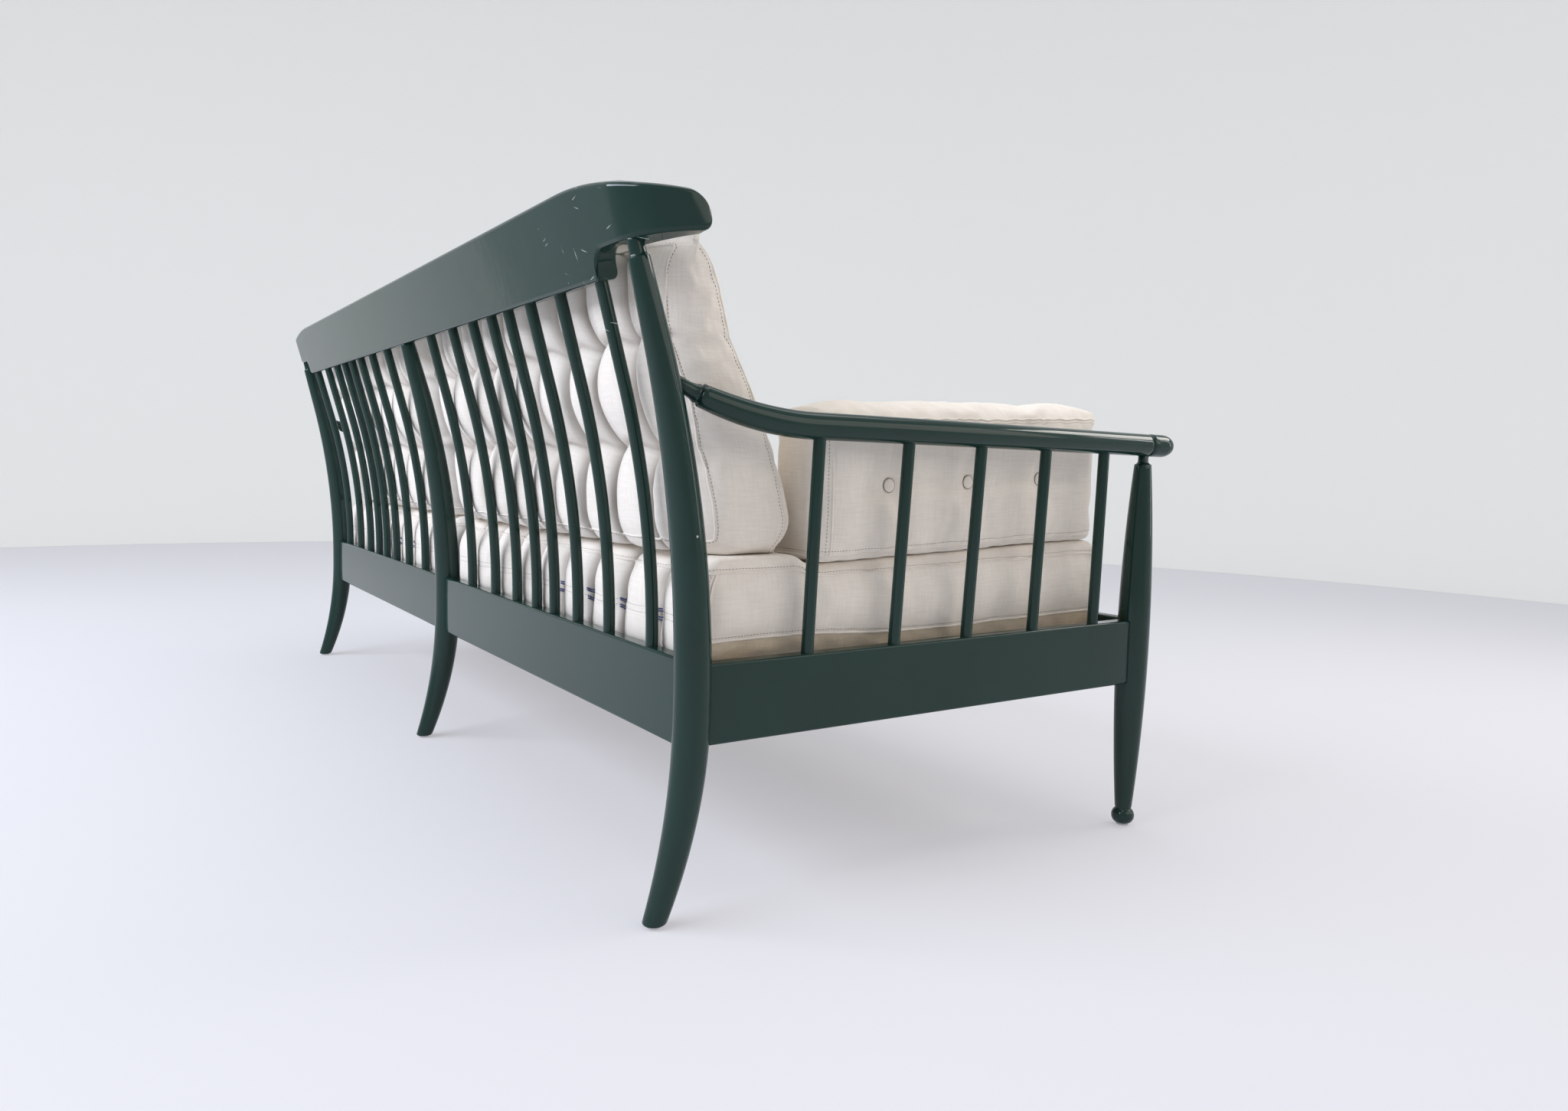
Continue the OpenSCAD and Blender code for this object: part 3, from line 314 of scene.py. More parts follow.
@dataclass(frozen=True)
class LacqueredBeech(Finish):
    """Beech, spray painted and polished: a deep gloss with faint waviness, and a few chips and scratches."""

    colour: str = "#122b25"
    light: str = "#17362f"
    chip: str = "#b9c0b4"
    ior: float = 1.39
    blotches_per_m: float = 7.0
    smears_per_m: float = 16.0
    ragged_per_m: float = 700.0
    wave_mm: float = 34
    peel_mm: float = 2.6
    chip_mm: float = 1.4
    scratch_mm: float = 3.6
    scratch_turns: tuple[float, ...] = (0.35, -0.2, 1.3)
    scratch_squeeze: tuple[float, float, float] = (0.55, 0.55, 9.0)
    chips_apart_mm: float = 45
    # The wing that gets knocked most, and how far round it the marks crowd
    knocked: tuple[float, float, float] = (-0.86, 0.445, 0.80)
    knocked_reach_mm: float = 140
    # Share of the cells without a chip away from that wing, and how much higher it is for scratches
    sound: float = 0.975
    fewer_scratches: float = 1.04

    def marks(
        self, add: AddNode, place: Any, squeeze: tuple, turn: float, share: Any, wide_mm: float
    ) -> Any:
        """Small marks in a few of many cells.

        Args:
            add: adds a node to the material's tree.
            place: socket with the place on the object.
            squeeze: how much the cells are squeezed along each axis.
            turn: how far they are turned in the plane of the back, in radians.
            share: node that gives the share of the cells that have no mark.
            wide_mm: half the width of a mark.

        Returns:
            A node that gives one inside a mark.
        """
        scale = 1 / (self.chips_apart_mm * MM)
        turned = add(MAPPING, {"Vector": place, "Rotation": (0.0, turn, 0.0)})
        drawn = add(MAPPING, {"Vector": turned, "Scale": squeeze})
        cells = add("ShaderNodeTexVoronoi", {"Vector": drawn, "Scale": scale, "Randomness": 1.0})
        ragged = add(NOISE, {"Vector": place, "Scale": self.ragged_per_m, "Detail": 2.0})
        edge = add(MATH, {0: ragged, 1: 2 * wide_mm * MM * scale}, operation="MULTIPLY")
        inside = add(MATH, {0: cells.outputs["Distance"], 1: edge}, operation="LESS_THAN")
        chance = add("ShaderNodeSeparateColor", {0: cells.outputs["Color"]})
        chosen = add(MATH, {0: chance, 1: share}, operation="GREATER_THAN")
        return add(MATH, {0: inside, 1: chosen}, operation="MULTIPLY")

    def dress(self, add: AddNode, place: Any) -> dict[str, Any]:
        """Adds the tone, the chips, the smears and the spray's waviness."""
        tone = add(NOISE, {"Vector": place, "Scale": self.blotches_per_m, "Detail": 3.0})
        base = add(MIX, {0: tone, 6: srgb(self.colour), 7: srgb(self.light)}, data_type="RGBA")
        # Knocks show the pale undercoat as specks about as wide as a pinhead, and as short thin scratches
        away = add("ShaderNodeVectorMath", {0: place, 1: self.knocked}, operation="DISTANCE")
        ends = {"From Max": self.knocked_reach_mm * MM, "To Min": 0.0, "To Max": self.sound}
        clear = add(RANGE, {"Value": away.outputs["Value"], **ends})
        speck = self.marks(add, place, (1.0, 1.0, 1.0), 0.0, clear, self.chip_mm)
        near = add(MATH, {0: clear, 1: self.fewer_scratches}, operation="MULTIPLY")
        for turn in self.scratch_turns:
            scratch = self.marks(add, place, self.scratch_squeeze, turn, near, self.scratch_mm)
            speck = add(MATH, {0: speck, 1: scratch}, operation="MAXIMUM")
        mixed = add(MIX, {0: speck, 6: base.outputs[2], 7: srgb(self.chip)}, data_type="RGBA")
        smear = add(NOISE, {"Vector": place, "Scale": self.smears_per_m, "Detail": 4.0})
        ends = {"From Min": 0.35, "From Max": 0.7, "To Min": 0.05, "To Max": 0.11}
        rough = add(RANGE, {"Value": smear, **ends})
        worn = add(MATH, {0: speck, 1: 0.4, 2: rough}, operation="MULTIPLY_ADD")
        wave = add(NOISE, {"Vector": place, "Scale": 1 / (self.wave_mm * MM)})
        peel = add(NOISE, {"Vector": place, "Scale": 1 / (self.peel_mm * MM)})
        low = add(BUMP, {"Height": wave, "Strength": 0.045, "Distance": 0.002})
        high = add(BUMP, {"Height": peel, "Strength": 0.05, "Distance": 0.0002, "Normal": low})
        return {"Base Color": mixed.outputs[2], "Roughness": worn, "IOR": self.ior, "Normal": high}


@dataclass(frozen=True)
class BareWood(Finish):
    """Planed, unfinished beech: matt, pale, with short flecks along the grain."""

    colour: str = "#cfa978"
    dark: str = "#a97f50"
    fleck_mm: float = 1.4

    def dress(self, add: AddNode, place: Any) -> dict[str, Any]:
        """Adds rings and flecks drawn out along the length."""
        long = add(MAPPING, {"Vector": place, "Scale": (6.0, 60.0, 60.0)})
        rings = add(NOISE, {"Vector": long, "Scale": 1.0, "Detail": 4.0, "Distortion": 0.4})
        close = 1 / (self.fleck_mm * MM)
        fine = add(MAPPING, {"Vector": place, "Scale": (60.0, close, close)})
        fleck = add(NOISE, {"Vector": fine, "Scale": 1.0, "Detail": 2.0})
        share = add(MATH, {0: rings, 1: fleck}, operation="MULTIPLY")
        wide = add(RANGE, {"Value": share, "From Min": 0.15, "From Max": 0.4})
        base = add(MIX, {0: wide, 6: srgb(self.dark), 7: srgb(self.colour)}, data_type="RGBA")
        bump = add(BUMP, {"Height": fleck, "Strength": 0.2, "Distance": 0.0003})
        return {"Base Color": base.outputs[2], "Roughness": 0.62, "Normal": bump}


@dataclass(frozen=True)
class RubberWebbing(Finish):
    """Rubber-cored woven webbing: dark, ribbed across, with light lines along it."""

    colour: str = "#2f2b27"
    line: str = "#8a7a5f"
    rib_mm: float = 2.6
    line_mm: float = 9

    def dress(self, add: AddNode, place: Any) -> dict[str, Any]:
        """Adds the ribs and the woven lines."""
        parts = add("ShaderNodeSeparateXYZ", {0: place})
        rib = self.waves(add, parts.outputs[1], self.rib_mm)
        stripe = self.waves(add, parts.outputs[0], self.line_mm)
        fray = add(NOISE, {"Vector": place, "Scale": 260.0, "Detail": 3.0})
        thin = add(RANGE, {"Value": stripe, "From Min": 0.86, "From Max": 0.96, "To Max": 0.35})
        base = add(MIX, {0: thin, 6: srgb(self.colour), 7: srgb(self.line)}, data_type="RGBA")
        height = add(MATH, {0: rib, 1: 0.5, 2: fray}, operation="MULTIPLY_ADD")
        bump = add(BUMP, {"Height": height, "Strength": 0.5, "Distance": 0.0006})
        return {"Base Color": base.outputs[2], "Roughness": 0.8, "Normal": bump}


@dataclass(frozen=True)
class ZincPlatedSteel(Finish):
    """Bright zinc-plated steel: grey metal with a faintly mottled shine."""

    colour: str = "#b4b7ba"

    def dress(self, add: AddNode, place: Any) -> dict[str, Any]:
        """Adds the plating's mottle."""
        mottle = add(NOISE, {"Vector": place, "Scale": 180.0, "Detail": 4.0})
        rough = add(RANGE, {"Value": mottle, "To Min": 0.22, "To Max": 0.5})
        bump = add(BUMP, {"Height": mottle, "Strength": 0.1, "Distance": 0.0002})
        return {"Base Color": srgb(self.colour), "Metallic": 1.0, "Roughness": rough, "Normal": bump}


@dataclass(frozen=True)
class WovenCloth(Finish):
    """Plain-woven cloth with slubs along both threads; its map is in metres of cloth."""

    colour: str = "#f3ede4"
    dark: str = "#e2d8cb"
    # Painted shade for deep creases, laid on where the cover's fold attribute says that a point lies in one
    painted_crease_shade: str = "#7d7268"
    # The real threads are under a millimetre apart, drawn wider here so that the weave still shows
    thread_mm: float = 2.2
    slub_mm: float = 38
    relief: float = 0.3
    sheen: float = 0.2

    def thread(self, add: AddNode, cloth: Any, along: int) -> Any:
        """Streaks of thicker thread that run along one direction.

        Args:
            add: adds a node to the material's tree.
            cloth: socket with the cloth's map.
            along: 0 for warp and 1 for weft.

        Returns:
            The noise node.
        """
        fine, long = 1 / (self.thread_mm * MM * 1.1), 1 / (self.slub_mm * MM)
        scale = (long, fine, 1.0) if along == 0 else (fine, long, 1.0)
        drawn = add(MAPPING, {"Vector": cloth, "Scale": scale, "Location": (along, 3 * along, 0)})
        return add(NOISE, {"Vector": drawn, "Scale": 1.0, "Detail": 2.0, "Roughness": 0.6})

    def dress(self, add: AddNode, place: Any) -> dict[str, Any]:
        """Adds the weave, the slubs, the cloth's uneven tone and the painted shade in its creases."""
        cloth = add("ShaderNodeUVMap", uv_map="cloth").outputs[0]
        warp, weft = self.thread(add, cloth, 0), self.thread(add, cloth, 1)
        both = add(MATH, {0: warp, 1: weft}, operation="ADD")
        parts = add("ShaderNodeSeparateXYZ", {0: cloth})
        across, down = (self.waves(add, parts.outputs[k], self.thread_mm) for k in (0, 1))
        over = add(MATH, {0: across, 1: down}, operation="MULTIPLY")
        height = add(MATH, {0: over, 1: 0.35, 2: both}, operation="MULTIPLY_ADD")
        tone = add(NOISE, {"Vector": place, "Scale": 9.0, "Detail": 3.0})
        mixed = add(MATH, {0: tone, 1: 0.35, 2: height}, operation="MULTIPLY_ADD")
        share = add(RANGE, {"Value": mixed, "From Min": 0.7, "From Max": 1.7, "To Min": 0.0, "To Max": 1.0})
        base = add(MIX, {0: share, 6: srgb(self.dark), 7: srgb(self.colour)}, data_type="RGBA")
        # Painted shade: the fold attribute darkens the cloth in its creases, in place of the shade that
        # falls there
        fold = add("ShaderNodeAttribute", attribute_name="fold").outputs["Fac"]
        deep = add(MIX, {0: fold, 6: base.outputs[2], 7: srgb(self.painted_crease_shade)}, data_type="RGBA")
        bump = add(BUMP, {"Height": height, "Strength": self.relief, "Distance": 0.0006})
        soft = {"Roughness": 0.88, "Sheen Weight": self.sheen, "Sheen Roughness": 0.5}
        return {"Base Color": deep.outputs[2], **soft, "Normal": bump}


@dataclass(frozen=True)
class SpunThread(Finish):
    """Twisted sewing thread: a soft fibre with a slight shine."""

    colour: str = "#d8d4cb"
    dark: str = "#a79f92"

    def dress(self, add: AddNode, place: Any) -> dict[str, Any]:
        """Adds the twist as fine light and dark."""
        twist = add(NOISE, {"Vector": place, "Scale": 900.0, "Detail": 2.0})
        base = add(MIX, {0: twist, 6: srgb(self.dark), 7: srgb(self.colour)}, data_type="RGBA")
        bump = add(BUMP, {"Height": twist, "Strength": 0.3, "Distance": 0.0003})
        return {"Base Color": base.outputs[2], "Roughness": 0.7, "Normal": bump}


LACQUER = LacqueredBeech("sprayed and polished lacquer on beech")
WOOD = BareWood("planed bare beech")
WEBBING = RubberWebbing("woven rubber webbing")
STEEL = ZincPlatedSteel("bright zinc-plated steel")
LINEN = WovenCloth("plain-woven undyed linen")
# A separate base cloth for the bottom and the strip under the lower seam; its darker tint also paints the
# shade that falls on the cushion's underside
BASE_CLOTH = WovenCloth(
    "woven cotton base cloth",
    colour="#e2d3bd",
    dark="#c4b399",
    thread_mm=1.8,
    slub_mm=24,
    relief=0.25,
    sheen=0.15,
)
SHADE_THREAD = SpunThread("twisted brown sewing thread", colour="#8f8579", dark="#6c6358")
TUFT_THREAD = SpunThread("waxed blue tufting twine", colour="#2c3f7a", dark="#16204a")


# Meshes


def outward(points: Points, faces: Points) -> Points:
    """Faces of a closed mesh, turned over if they point inwards.

    Args:
        points: the corners, one row each.
        faces: four corner numbers in each row.

    Returns:
        The faces, pointing outwards.
    """
    a, b, c, d = (points[faces[:, k]] for k in range(4))
    volume = np.einsum("ij,ij->i", a, np.cross(b, c)).sum() + np.einsum("ij,ij->i", a, np.cross(c, d)).sum()
    return faces if volume > 0 else faces[:, ::-1]


def grid_quads(numbers: Points) -> Points:
    """Quads between neighbours in a grid of corner numbers."""
    g = numbers
    return np.stack([g[:-1, :-1], g[:-1, 1:], g[1:, 1:], g[1:, :-1]], -1).reshape(-1, 4)


def places_of(mesh: bpy.types.Mesh) -> Points:
    """Places of a mesh's corners.

    Args:
        mesh: the mesh.

    Returns:
        One row for each corner, in metres.
    """
    co = np.empty(len(mesh.vertices) * 3, np.float32)
    mesh.vertices.foreach_get("co", co)
    return co.reshape(-1, 3)


def linked(name: str, data: Any) -> Any:
    """An object with this mesh, lamp or camera in it, linked to the scene."""
    obj = bpy.data.objects.new(name, data)
    bpy.context.scene.collection.objects.link(obj)
    return obj


def piece(name: str, points: Points, faces: Sequence[Sequence[int]], finish: Finish) -> Any:
    """A mesh object in metres, linked to the scene.

    Args:
        name: the piece's name.
        points: corners in millimetres.
        faces: corner numbers of each face.
        finish: what it is finished with.

    Returns:
        The object.
    """
    mesh = bpy.data.meshes.new(name)
    mesh.from_pydata((np.asarray(points, float) * MM).tolist(), [], [list(map(int, f)) for f in faces])
    mesh.polygons.foreach_set("use_smooth", [True] * len(mesh.polygons))
    mesh.materials.append(finish.make())
    mesh.update()
    return linked(name, mesh)


def loft(name: str, rings: Points, finish: Finish) -> Any:
    """A closed skin through rings of equal length, its ends closed by fans.

    Args:
        name: the piece's name.
        rings: rings of points, in millimetres.
        finish: what it is finished with.

    Returns:
        The object.
    """
    rings = np.asarray(rings, float)
    n, m, _ = rings.shape
    numbers = np.arange(n * m).reshape(n, m)
    quads = grid_quads(np.hstack([numbers, numbers[:, :1]]))
    points = np.concatenate([rings.reshape(-1, 3), [rings[0].mean(0)], [rings[-1].mean(0)]])
    near, after = numbers[0], np.roll(numbers[0], -1)
    far = numbers[-1, 0]
    first = np.stack([np.full(m, n * m), after, near, near], -1)
    last = np.stack([np.full(m, n * m + 1), far + near, far + after, far + after], -1)
    faces = outward(points, np.concatenate([quads, first, last]))
    return piece(name, points, [list(dict.fromkeys(f.tolist())) for f in faces], finish)


def even_normals(obj: Any) -> Any:
    """Lets the big flat faces keep their shading beside narrow rounded ones."""
    even = obj.modifiers.new("even normals", "WEIGHTED_NORMAL")
    even.weight = 80
    even.keep_sharp = False
    return obj


def hand_over(obj: Any, body: str, slot: str, *nodes: str) -> Any:
    """Hangs a piece on its body and hides the solids that it stands for."""
    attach(obj, body)
    if nodes:
        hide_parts(*nodes)
    LOG.info("%s: %d faces on %s", obj.name, len(obj.data.polygons), body)
    return obj


class Pattern:
    """A geometry node tree with named inputs, whose result becomes a plain mesh."""

    def __init__(self, name: str) -> None:
        """Starts an empty tree with a geometry input and output."""
        self.tree = bpy.data.node_groups.new(name, "GeometryNodeTree")
        self.tree.interface.new_socket("Geometry", in_out="INPUT", socket_type="NodeSocketGeometry")
        self.tree.interface.new_socket("Geometry", in_out="OUTPUT", socket_type="NodeSocketGeometry")
        self.start = self.tree.nodes.new("NodeGroupInput")
        self.values: dict[str, Any] = {}

    def take(self, name: str, kind: str, value: Any) -> Any:
        """Adds a named input.

        Args:
            name: what the input is called.
            kind: its socket type, without the NodeSocket prefix.
            value: what it is set to.

        Returns:
            The socket to link from.
        """
        made = self.tree.interface.new_socket(name, in_out="INPUT", socket_type="NodeSocket" + kind)
        self.values[made.identifier] = value
        return next(s for s in self.start.outputs if s.identifier == made.identifier)

    def add(self, kind: str, sockets: dict[Any, Any] | None = None, **settings: Any) -> Any:
        """Adds a node to the tree."""
        return add_node(self.tree, kind, sockets, **settings)

    def maths(self, operation: str, *values: Any) -> Any:
        """Adds a sum of one to three values."""
        return self.add("ShaderNodeMath", dict(enumerate(values)), operation=operation)

    def rods(self, sides: Any, radius: Any) -> Any:
        """Adds round rods along the guide's lines."""
        line = self.add("GeometryNodeMeshToCurve", {0: self.start.outputs[0]})
        section = self.add("GeometryNodeCurvePrimitiveCircle", {"Resolution": sides, "Radius": radius})
        return self.add("GeometryNodeCurveToMesh", {0: line, 1: section, "Fill Caps": True})

    def away(self) -> Any:
        """Adds the directions away from the surface, which the guide holds."""
        return self.add("GeometryNodeInputNamedAttribute", {"Name": "away"}, data_type="FLOAT_VECTOR")

    def end(self, shapes: Any, finish: Finish) -> None:
        """Ends the tree with real geometry in one finish, which is its last input."""
        material = self.take("Finish", "Material", finish.make())
        real = self.add("GeometryNodeRealizeInstances", {0: shapes})
        smooth = self.add("GeometryNodeSetShadeSmooth", {0: real})
        dressed = self.add("GeometryNodeSetMaterial", {0: smooth, "Material": material})
        self.add("NodeGroupOutput", {0: dressed})

    def grow(self, name: str, guide: bpy.types.Mesh) -> Any:
        """Runs the tree on a guide mesh.

        Args:
            name: name of the piece that comes out.
            guide: the points and lines that the pattern follows.

        Returns:
            An object with the pattern as a plain mesh.
        """
        obj = linked(name, guide)
        modifier = obj.modifiers.new("pattern", "NODES")
        modifier.node_group = self.tree
        for identifier, value in self.values.items():
            modifier[identifier] = value
        graph = bpy.context.evaluated_depsgraph_get()
        mesh = bpy.data.meshes.new_from_object(obj.evaluated_get(graph), depsgraph=graph)
        obj.modifiers.clear()
        mesh.name = name
        obj.data = mesh
        bpy.data.meshes.remove(guide)
        return obj


def guide_mesh(lines: Sequence[Points], normals: Sequence[Points] | None = None) -> bpy.types.Mesh:
    """Lines for a pattern to follow.

    Args:
        lines: rows of points in millimetres, each a line, or a single point.
        normals: for each line, the direction away from the surface at its points.

    Returns:
        A mesh of loose edges and points, with the directions as an attribute.
    """
    edges, start = [], 0
    for line in lines:
        edges += [(start + k, start + k + 1) for k in range(len(line) - 1)]
        start += len(line)
    mesh = bpy.data.meshes.new("guide")
    mesh.from_pydata((np.concatenate(lines) * MM).tolist(), edges, [])
    if normals is not None:
        away = mesh.attributes.new("away", "FLOAT_VECTOR", "POINT")
        away.data.foreach_set("vector", np.concatenate(normals).astype(np.float32).ravel())
    return mesh


def rod_pattern(name: str, radius: float, sides: int, finish: Finish) -> Pattern:
    """A pattern of round rods along lines.

    Args:
        name: the tree's name.
        radius: the rods' radius in millimetres.
        sides: how many sides a rod has.
        finish: what it is finished with.

    Returns:
        The pattern.
    """
    pattern = Pattern(name)
    across = pattern.take("Radius", "Float", radius * MM)
    count = pattern.take("Sides", "Int", sides)
    pattern.end(pattern.rods(count, across), finish)
    return pattern


# The frame


@dataclass
class TurnedLegs:
    """The six legs: back legs that sweep back to the floor and lean, and spindle-shaped front legs."""

    sides: int = 48
    belly_z: float = 290
    belly_d: float = 47.8
    thin_d: float = 25
    ball_d: float = 34.4
    ball_h: float = 25
    neck_d: float = 15
    bare_neck: float = 13

    @property
    def shoulder(self) -> float:
        """Height of a corner front leg's shoulder, under its neck."""
        return SIZES.arm_z - SIZES.arm_d / 2 - self.bare_neck

    def circle(self) -> Points:
        """Angles of a ring's points."""
        return np.linspace(0, 2 * math.pi, self.sides, endpoint=False)

    def ring(self, x: float, z: float, r: float) -> Points:
        """One ring of a back leg.

        Args:
            x: place of the leg across the sofa.
            z: height.
            r: radius.

        Returns:
            The ring's points.
        """
        a = self.circle()
        tilt = SIZES.post_tilt(z)
        y = SIZES.rear_y + float(SIZES.post_y(z)) + r * np.sin(a) * math.cos(tilt)
        return np.stack([x + r * np.cos(a), y, z - r * np.sin(a) * math.sin(tilt)], -1)

    def back_leg(self, x: float, top: float, neck: bool) -> list[Points]:
        """Rings of a back leg up to a height, with a turned neck above it on a corner leg."""
        low = SIZES.glide_h
        rim = ((0, 3), (0.4, 1.6), (1.4, 0.5))
        rings = [self.ring(x, low + up, SIZES.post_radius(low) - less) for up, less in rim]
        rings += [self.ring(x, z, SIZES.post_radius(z)) for z in np.linspace(low + 3, top - 0.5, 110)]
        if neck:
            along = [(0, 0.2), (0.4, 1.2), (1.2, 2), (4, 2.6), (9, 3.0), (15, 3.2), (26, 3.4)]
            radius = SIZES.post_radius(top)
            rings += [self.ring(x, top + step * math.cos(SIZES.lean), radius - less) for step, less in along]
        return rings

    def front_profile(self, top: float) -> list[tuple[float, float]]:
        """Radius and height up a front leg, from the glide to its shoulder."""
        low, cut = SIZES.glide_h, 74
        ankle, hub = low + self.ball_h, self.thin_d * 0.27
        profile = []
        for a in np.radians(np.linspace(-cut, 62, 22)):
            height = low + self.ball_h * 0.5 * (math.sin(a) + math.sin(math.radians(cut)))
            profile.append((hub + (self.ball_d / 2 - hub) * math.cos(a), height))
        for z in np.linspace(ankle + 1.5, top, 90):
            span = self.belly_z - ankle if z < self.belly_z else self.shoulder - self.belly_z
            share = abs(z - self.belly_z) / span
            profile.append((self.belly_d / 2 - (self.belly_d - self.thin_d) / 2 * share**2, float(z)))
        return profile

    def front_leg(self, x: float, top: float, neck: bool) -> list[Points]:
        """Rings of a front leg up to its shoulder, and its neck under an armrest or its domed end."""
        profile = self.front_profile(top)
        r = profile[-1][0]
        if neck:
            profile += [(r - 0.6, top + 0.5), (r - 2.4, top + 1.6), (r - 4.4, top + 3.4)]
            profile += [(self.neck_d / 2, top + 5.5), (self.neck_d / 2, SIZES.arm_z - 8)]
        else:
            dome = 5
            turns = np.radians([25, 50, 70, 88])
            profile += [(r - dome + dome * math.cos(a), top + dome * math.sin(a)) for a in turns]
        a = self.circle()
        y = SIZES.rear_y - SIZES.leg_depth
        return [np.stack([x + r * np.cos(a), y + r * np.sin(a), np.full(len(a), z)], -1) for r, z in profile]

    def build(self) -> None:
        """Builds the six legs."""
        top = SIZES.crest_z - SIZES.neck_l * math.cos(SIZES.lean)
        middle_top = SIZES.crest_z - SIZES.crest_down * math.cos(SIZES.lean) + 4
        legs = []
        for side in Side:
            x, front_x = side.value * SIZES.half_span, side.value * SIZES.front_x
            legs.append(("back", side.word, self.back_leg(x, top, neck=True)))
            legs.append(("front", side.word, self.front_leg(front_x, self.shoulder, neck=True)))
        legs.append(("back", "middle", self.back_leg(0, middle_top, neck=False)))
        legs.append(("front", "middle", self.front_leg(0, SIZES.front_rail_top - 3, neck=False)))
        for kind, place, rings in legs:
            leg = loft(f"turned_{kind}_leg_{place}", rings, LACQUER)
            hand_over(leg, "frame", "lacquered_wood", f"{kind}_leg_{place}")


@dataclass
class Rails:
    """The six lacquered rails, with hand-eased edges."""

    easing: float = 3.5
    steps: int = 5

    def board(self, name: str, a: Vector, b: Vector, high: float) -> Any:
        """A rail from a to b, its middle line between them.

        Args:
            name: the piece's name.
            a: middle of its one end.
            b: middle of its other end.
            high: its depth from edge to edge.

        Returns:
            The object.
        """
        along = (b - a).normalized()
        across = along.cross(Vector((0, 0, 1))).normalized()
        up = across.cross(along)
        corners = []
        for sy, sz, turn in ((1, 1, 0), (-1, 1, 90), (-1, -1, 180), (1, -1, 270)):
            for k in range(self.steps + 1):
                t = math.radians(turn + 90 * k / self.steps)
                p = sy * (SIZES.rail_t / 2 - self.easing) + self.easing * math.cos(t)
                corners.append((p, sz * (high / 2 - self.easing) + self.easing * math.sin(t)))
        stops = np.linspace(0, (b - a).length, 9)
        rings = [[np.array(a + along * s + across * p + up * q) for p, q in corners] for s in stops]
        return even_normals(loft(name, np.array(rings), LACQUER))

    def build(self) -> None:
        """Builds the rails, run a little way into the legs."""
        s = SIZES
        front_y, into = s.rear_y - s.leg_depth, 8
        back_z, front_z = s.back_rail_top - s.back_rail_h / 2, s.front_rail_top - s.side_rail_h / 2
        rear_z = s.side_rail_rear_top - s.side_rail_h / 2
        for side in Side:
            x, front_x, inset = side.value * s.half_span, side.value * s.front_x, side.value * into
            start, end = Vector((x, s.rear_y, rear_z)), Vector((front_x, front_y, front_z))
            step = (end - start).normalized() * into
            ends = {
                "back": (Vector((inset, s.rear_y, back_z)), Vector((x - inset, s.rear_y, back_z))),
                "front": (Vector((inset, front_y, front_z)), Vector((front_x - inset, front_y, front_z))),
                "side": (start + step, end - step),
            }
            for kind, (a, b) in ends.items():
                high = s.back_rail_h if kind == "back" else s.side_rail_h
                made = self.board(f"eased_{kind}_rail_{side.word}", a, b, high)
                hand_over(made, "frame", "lacquered_wood", f"{kind}_rail_{side.word}")


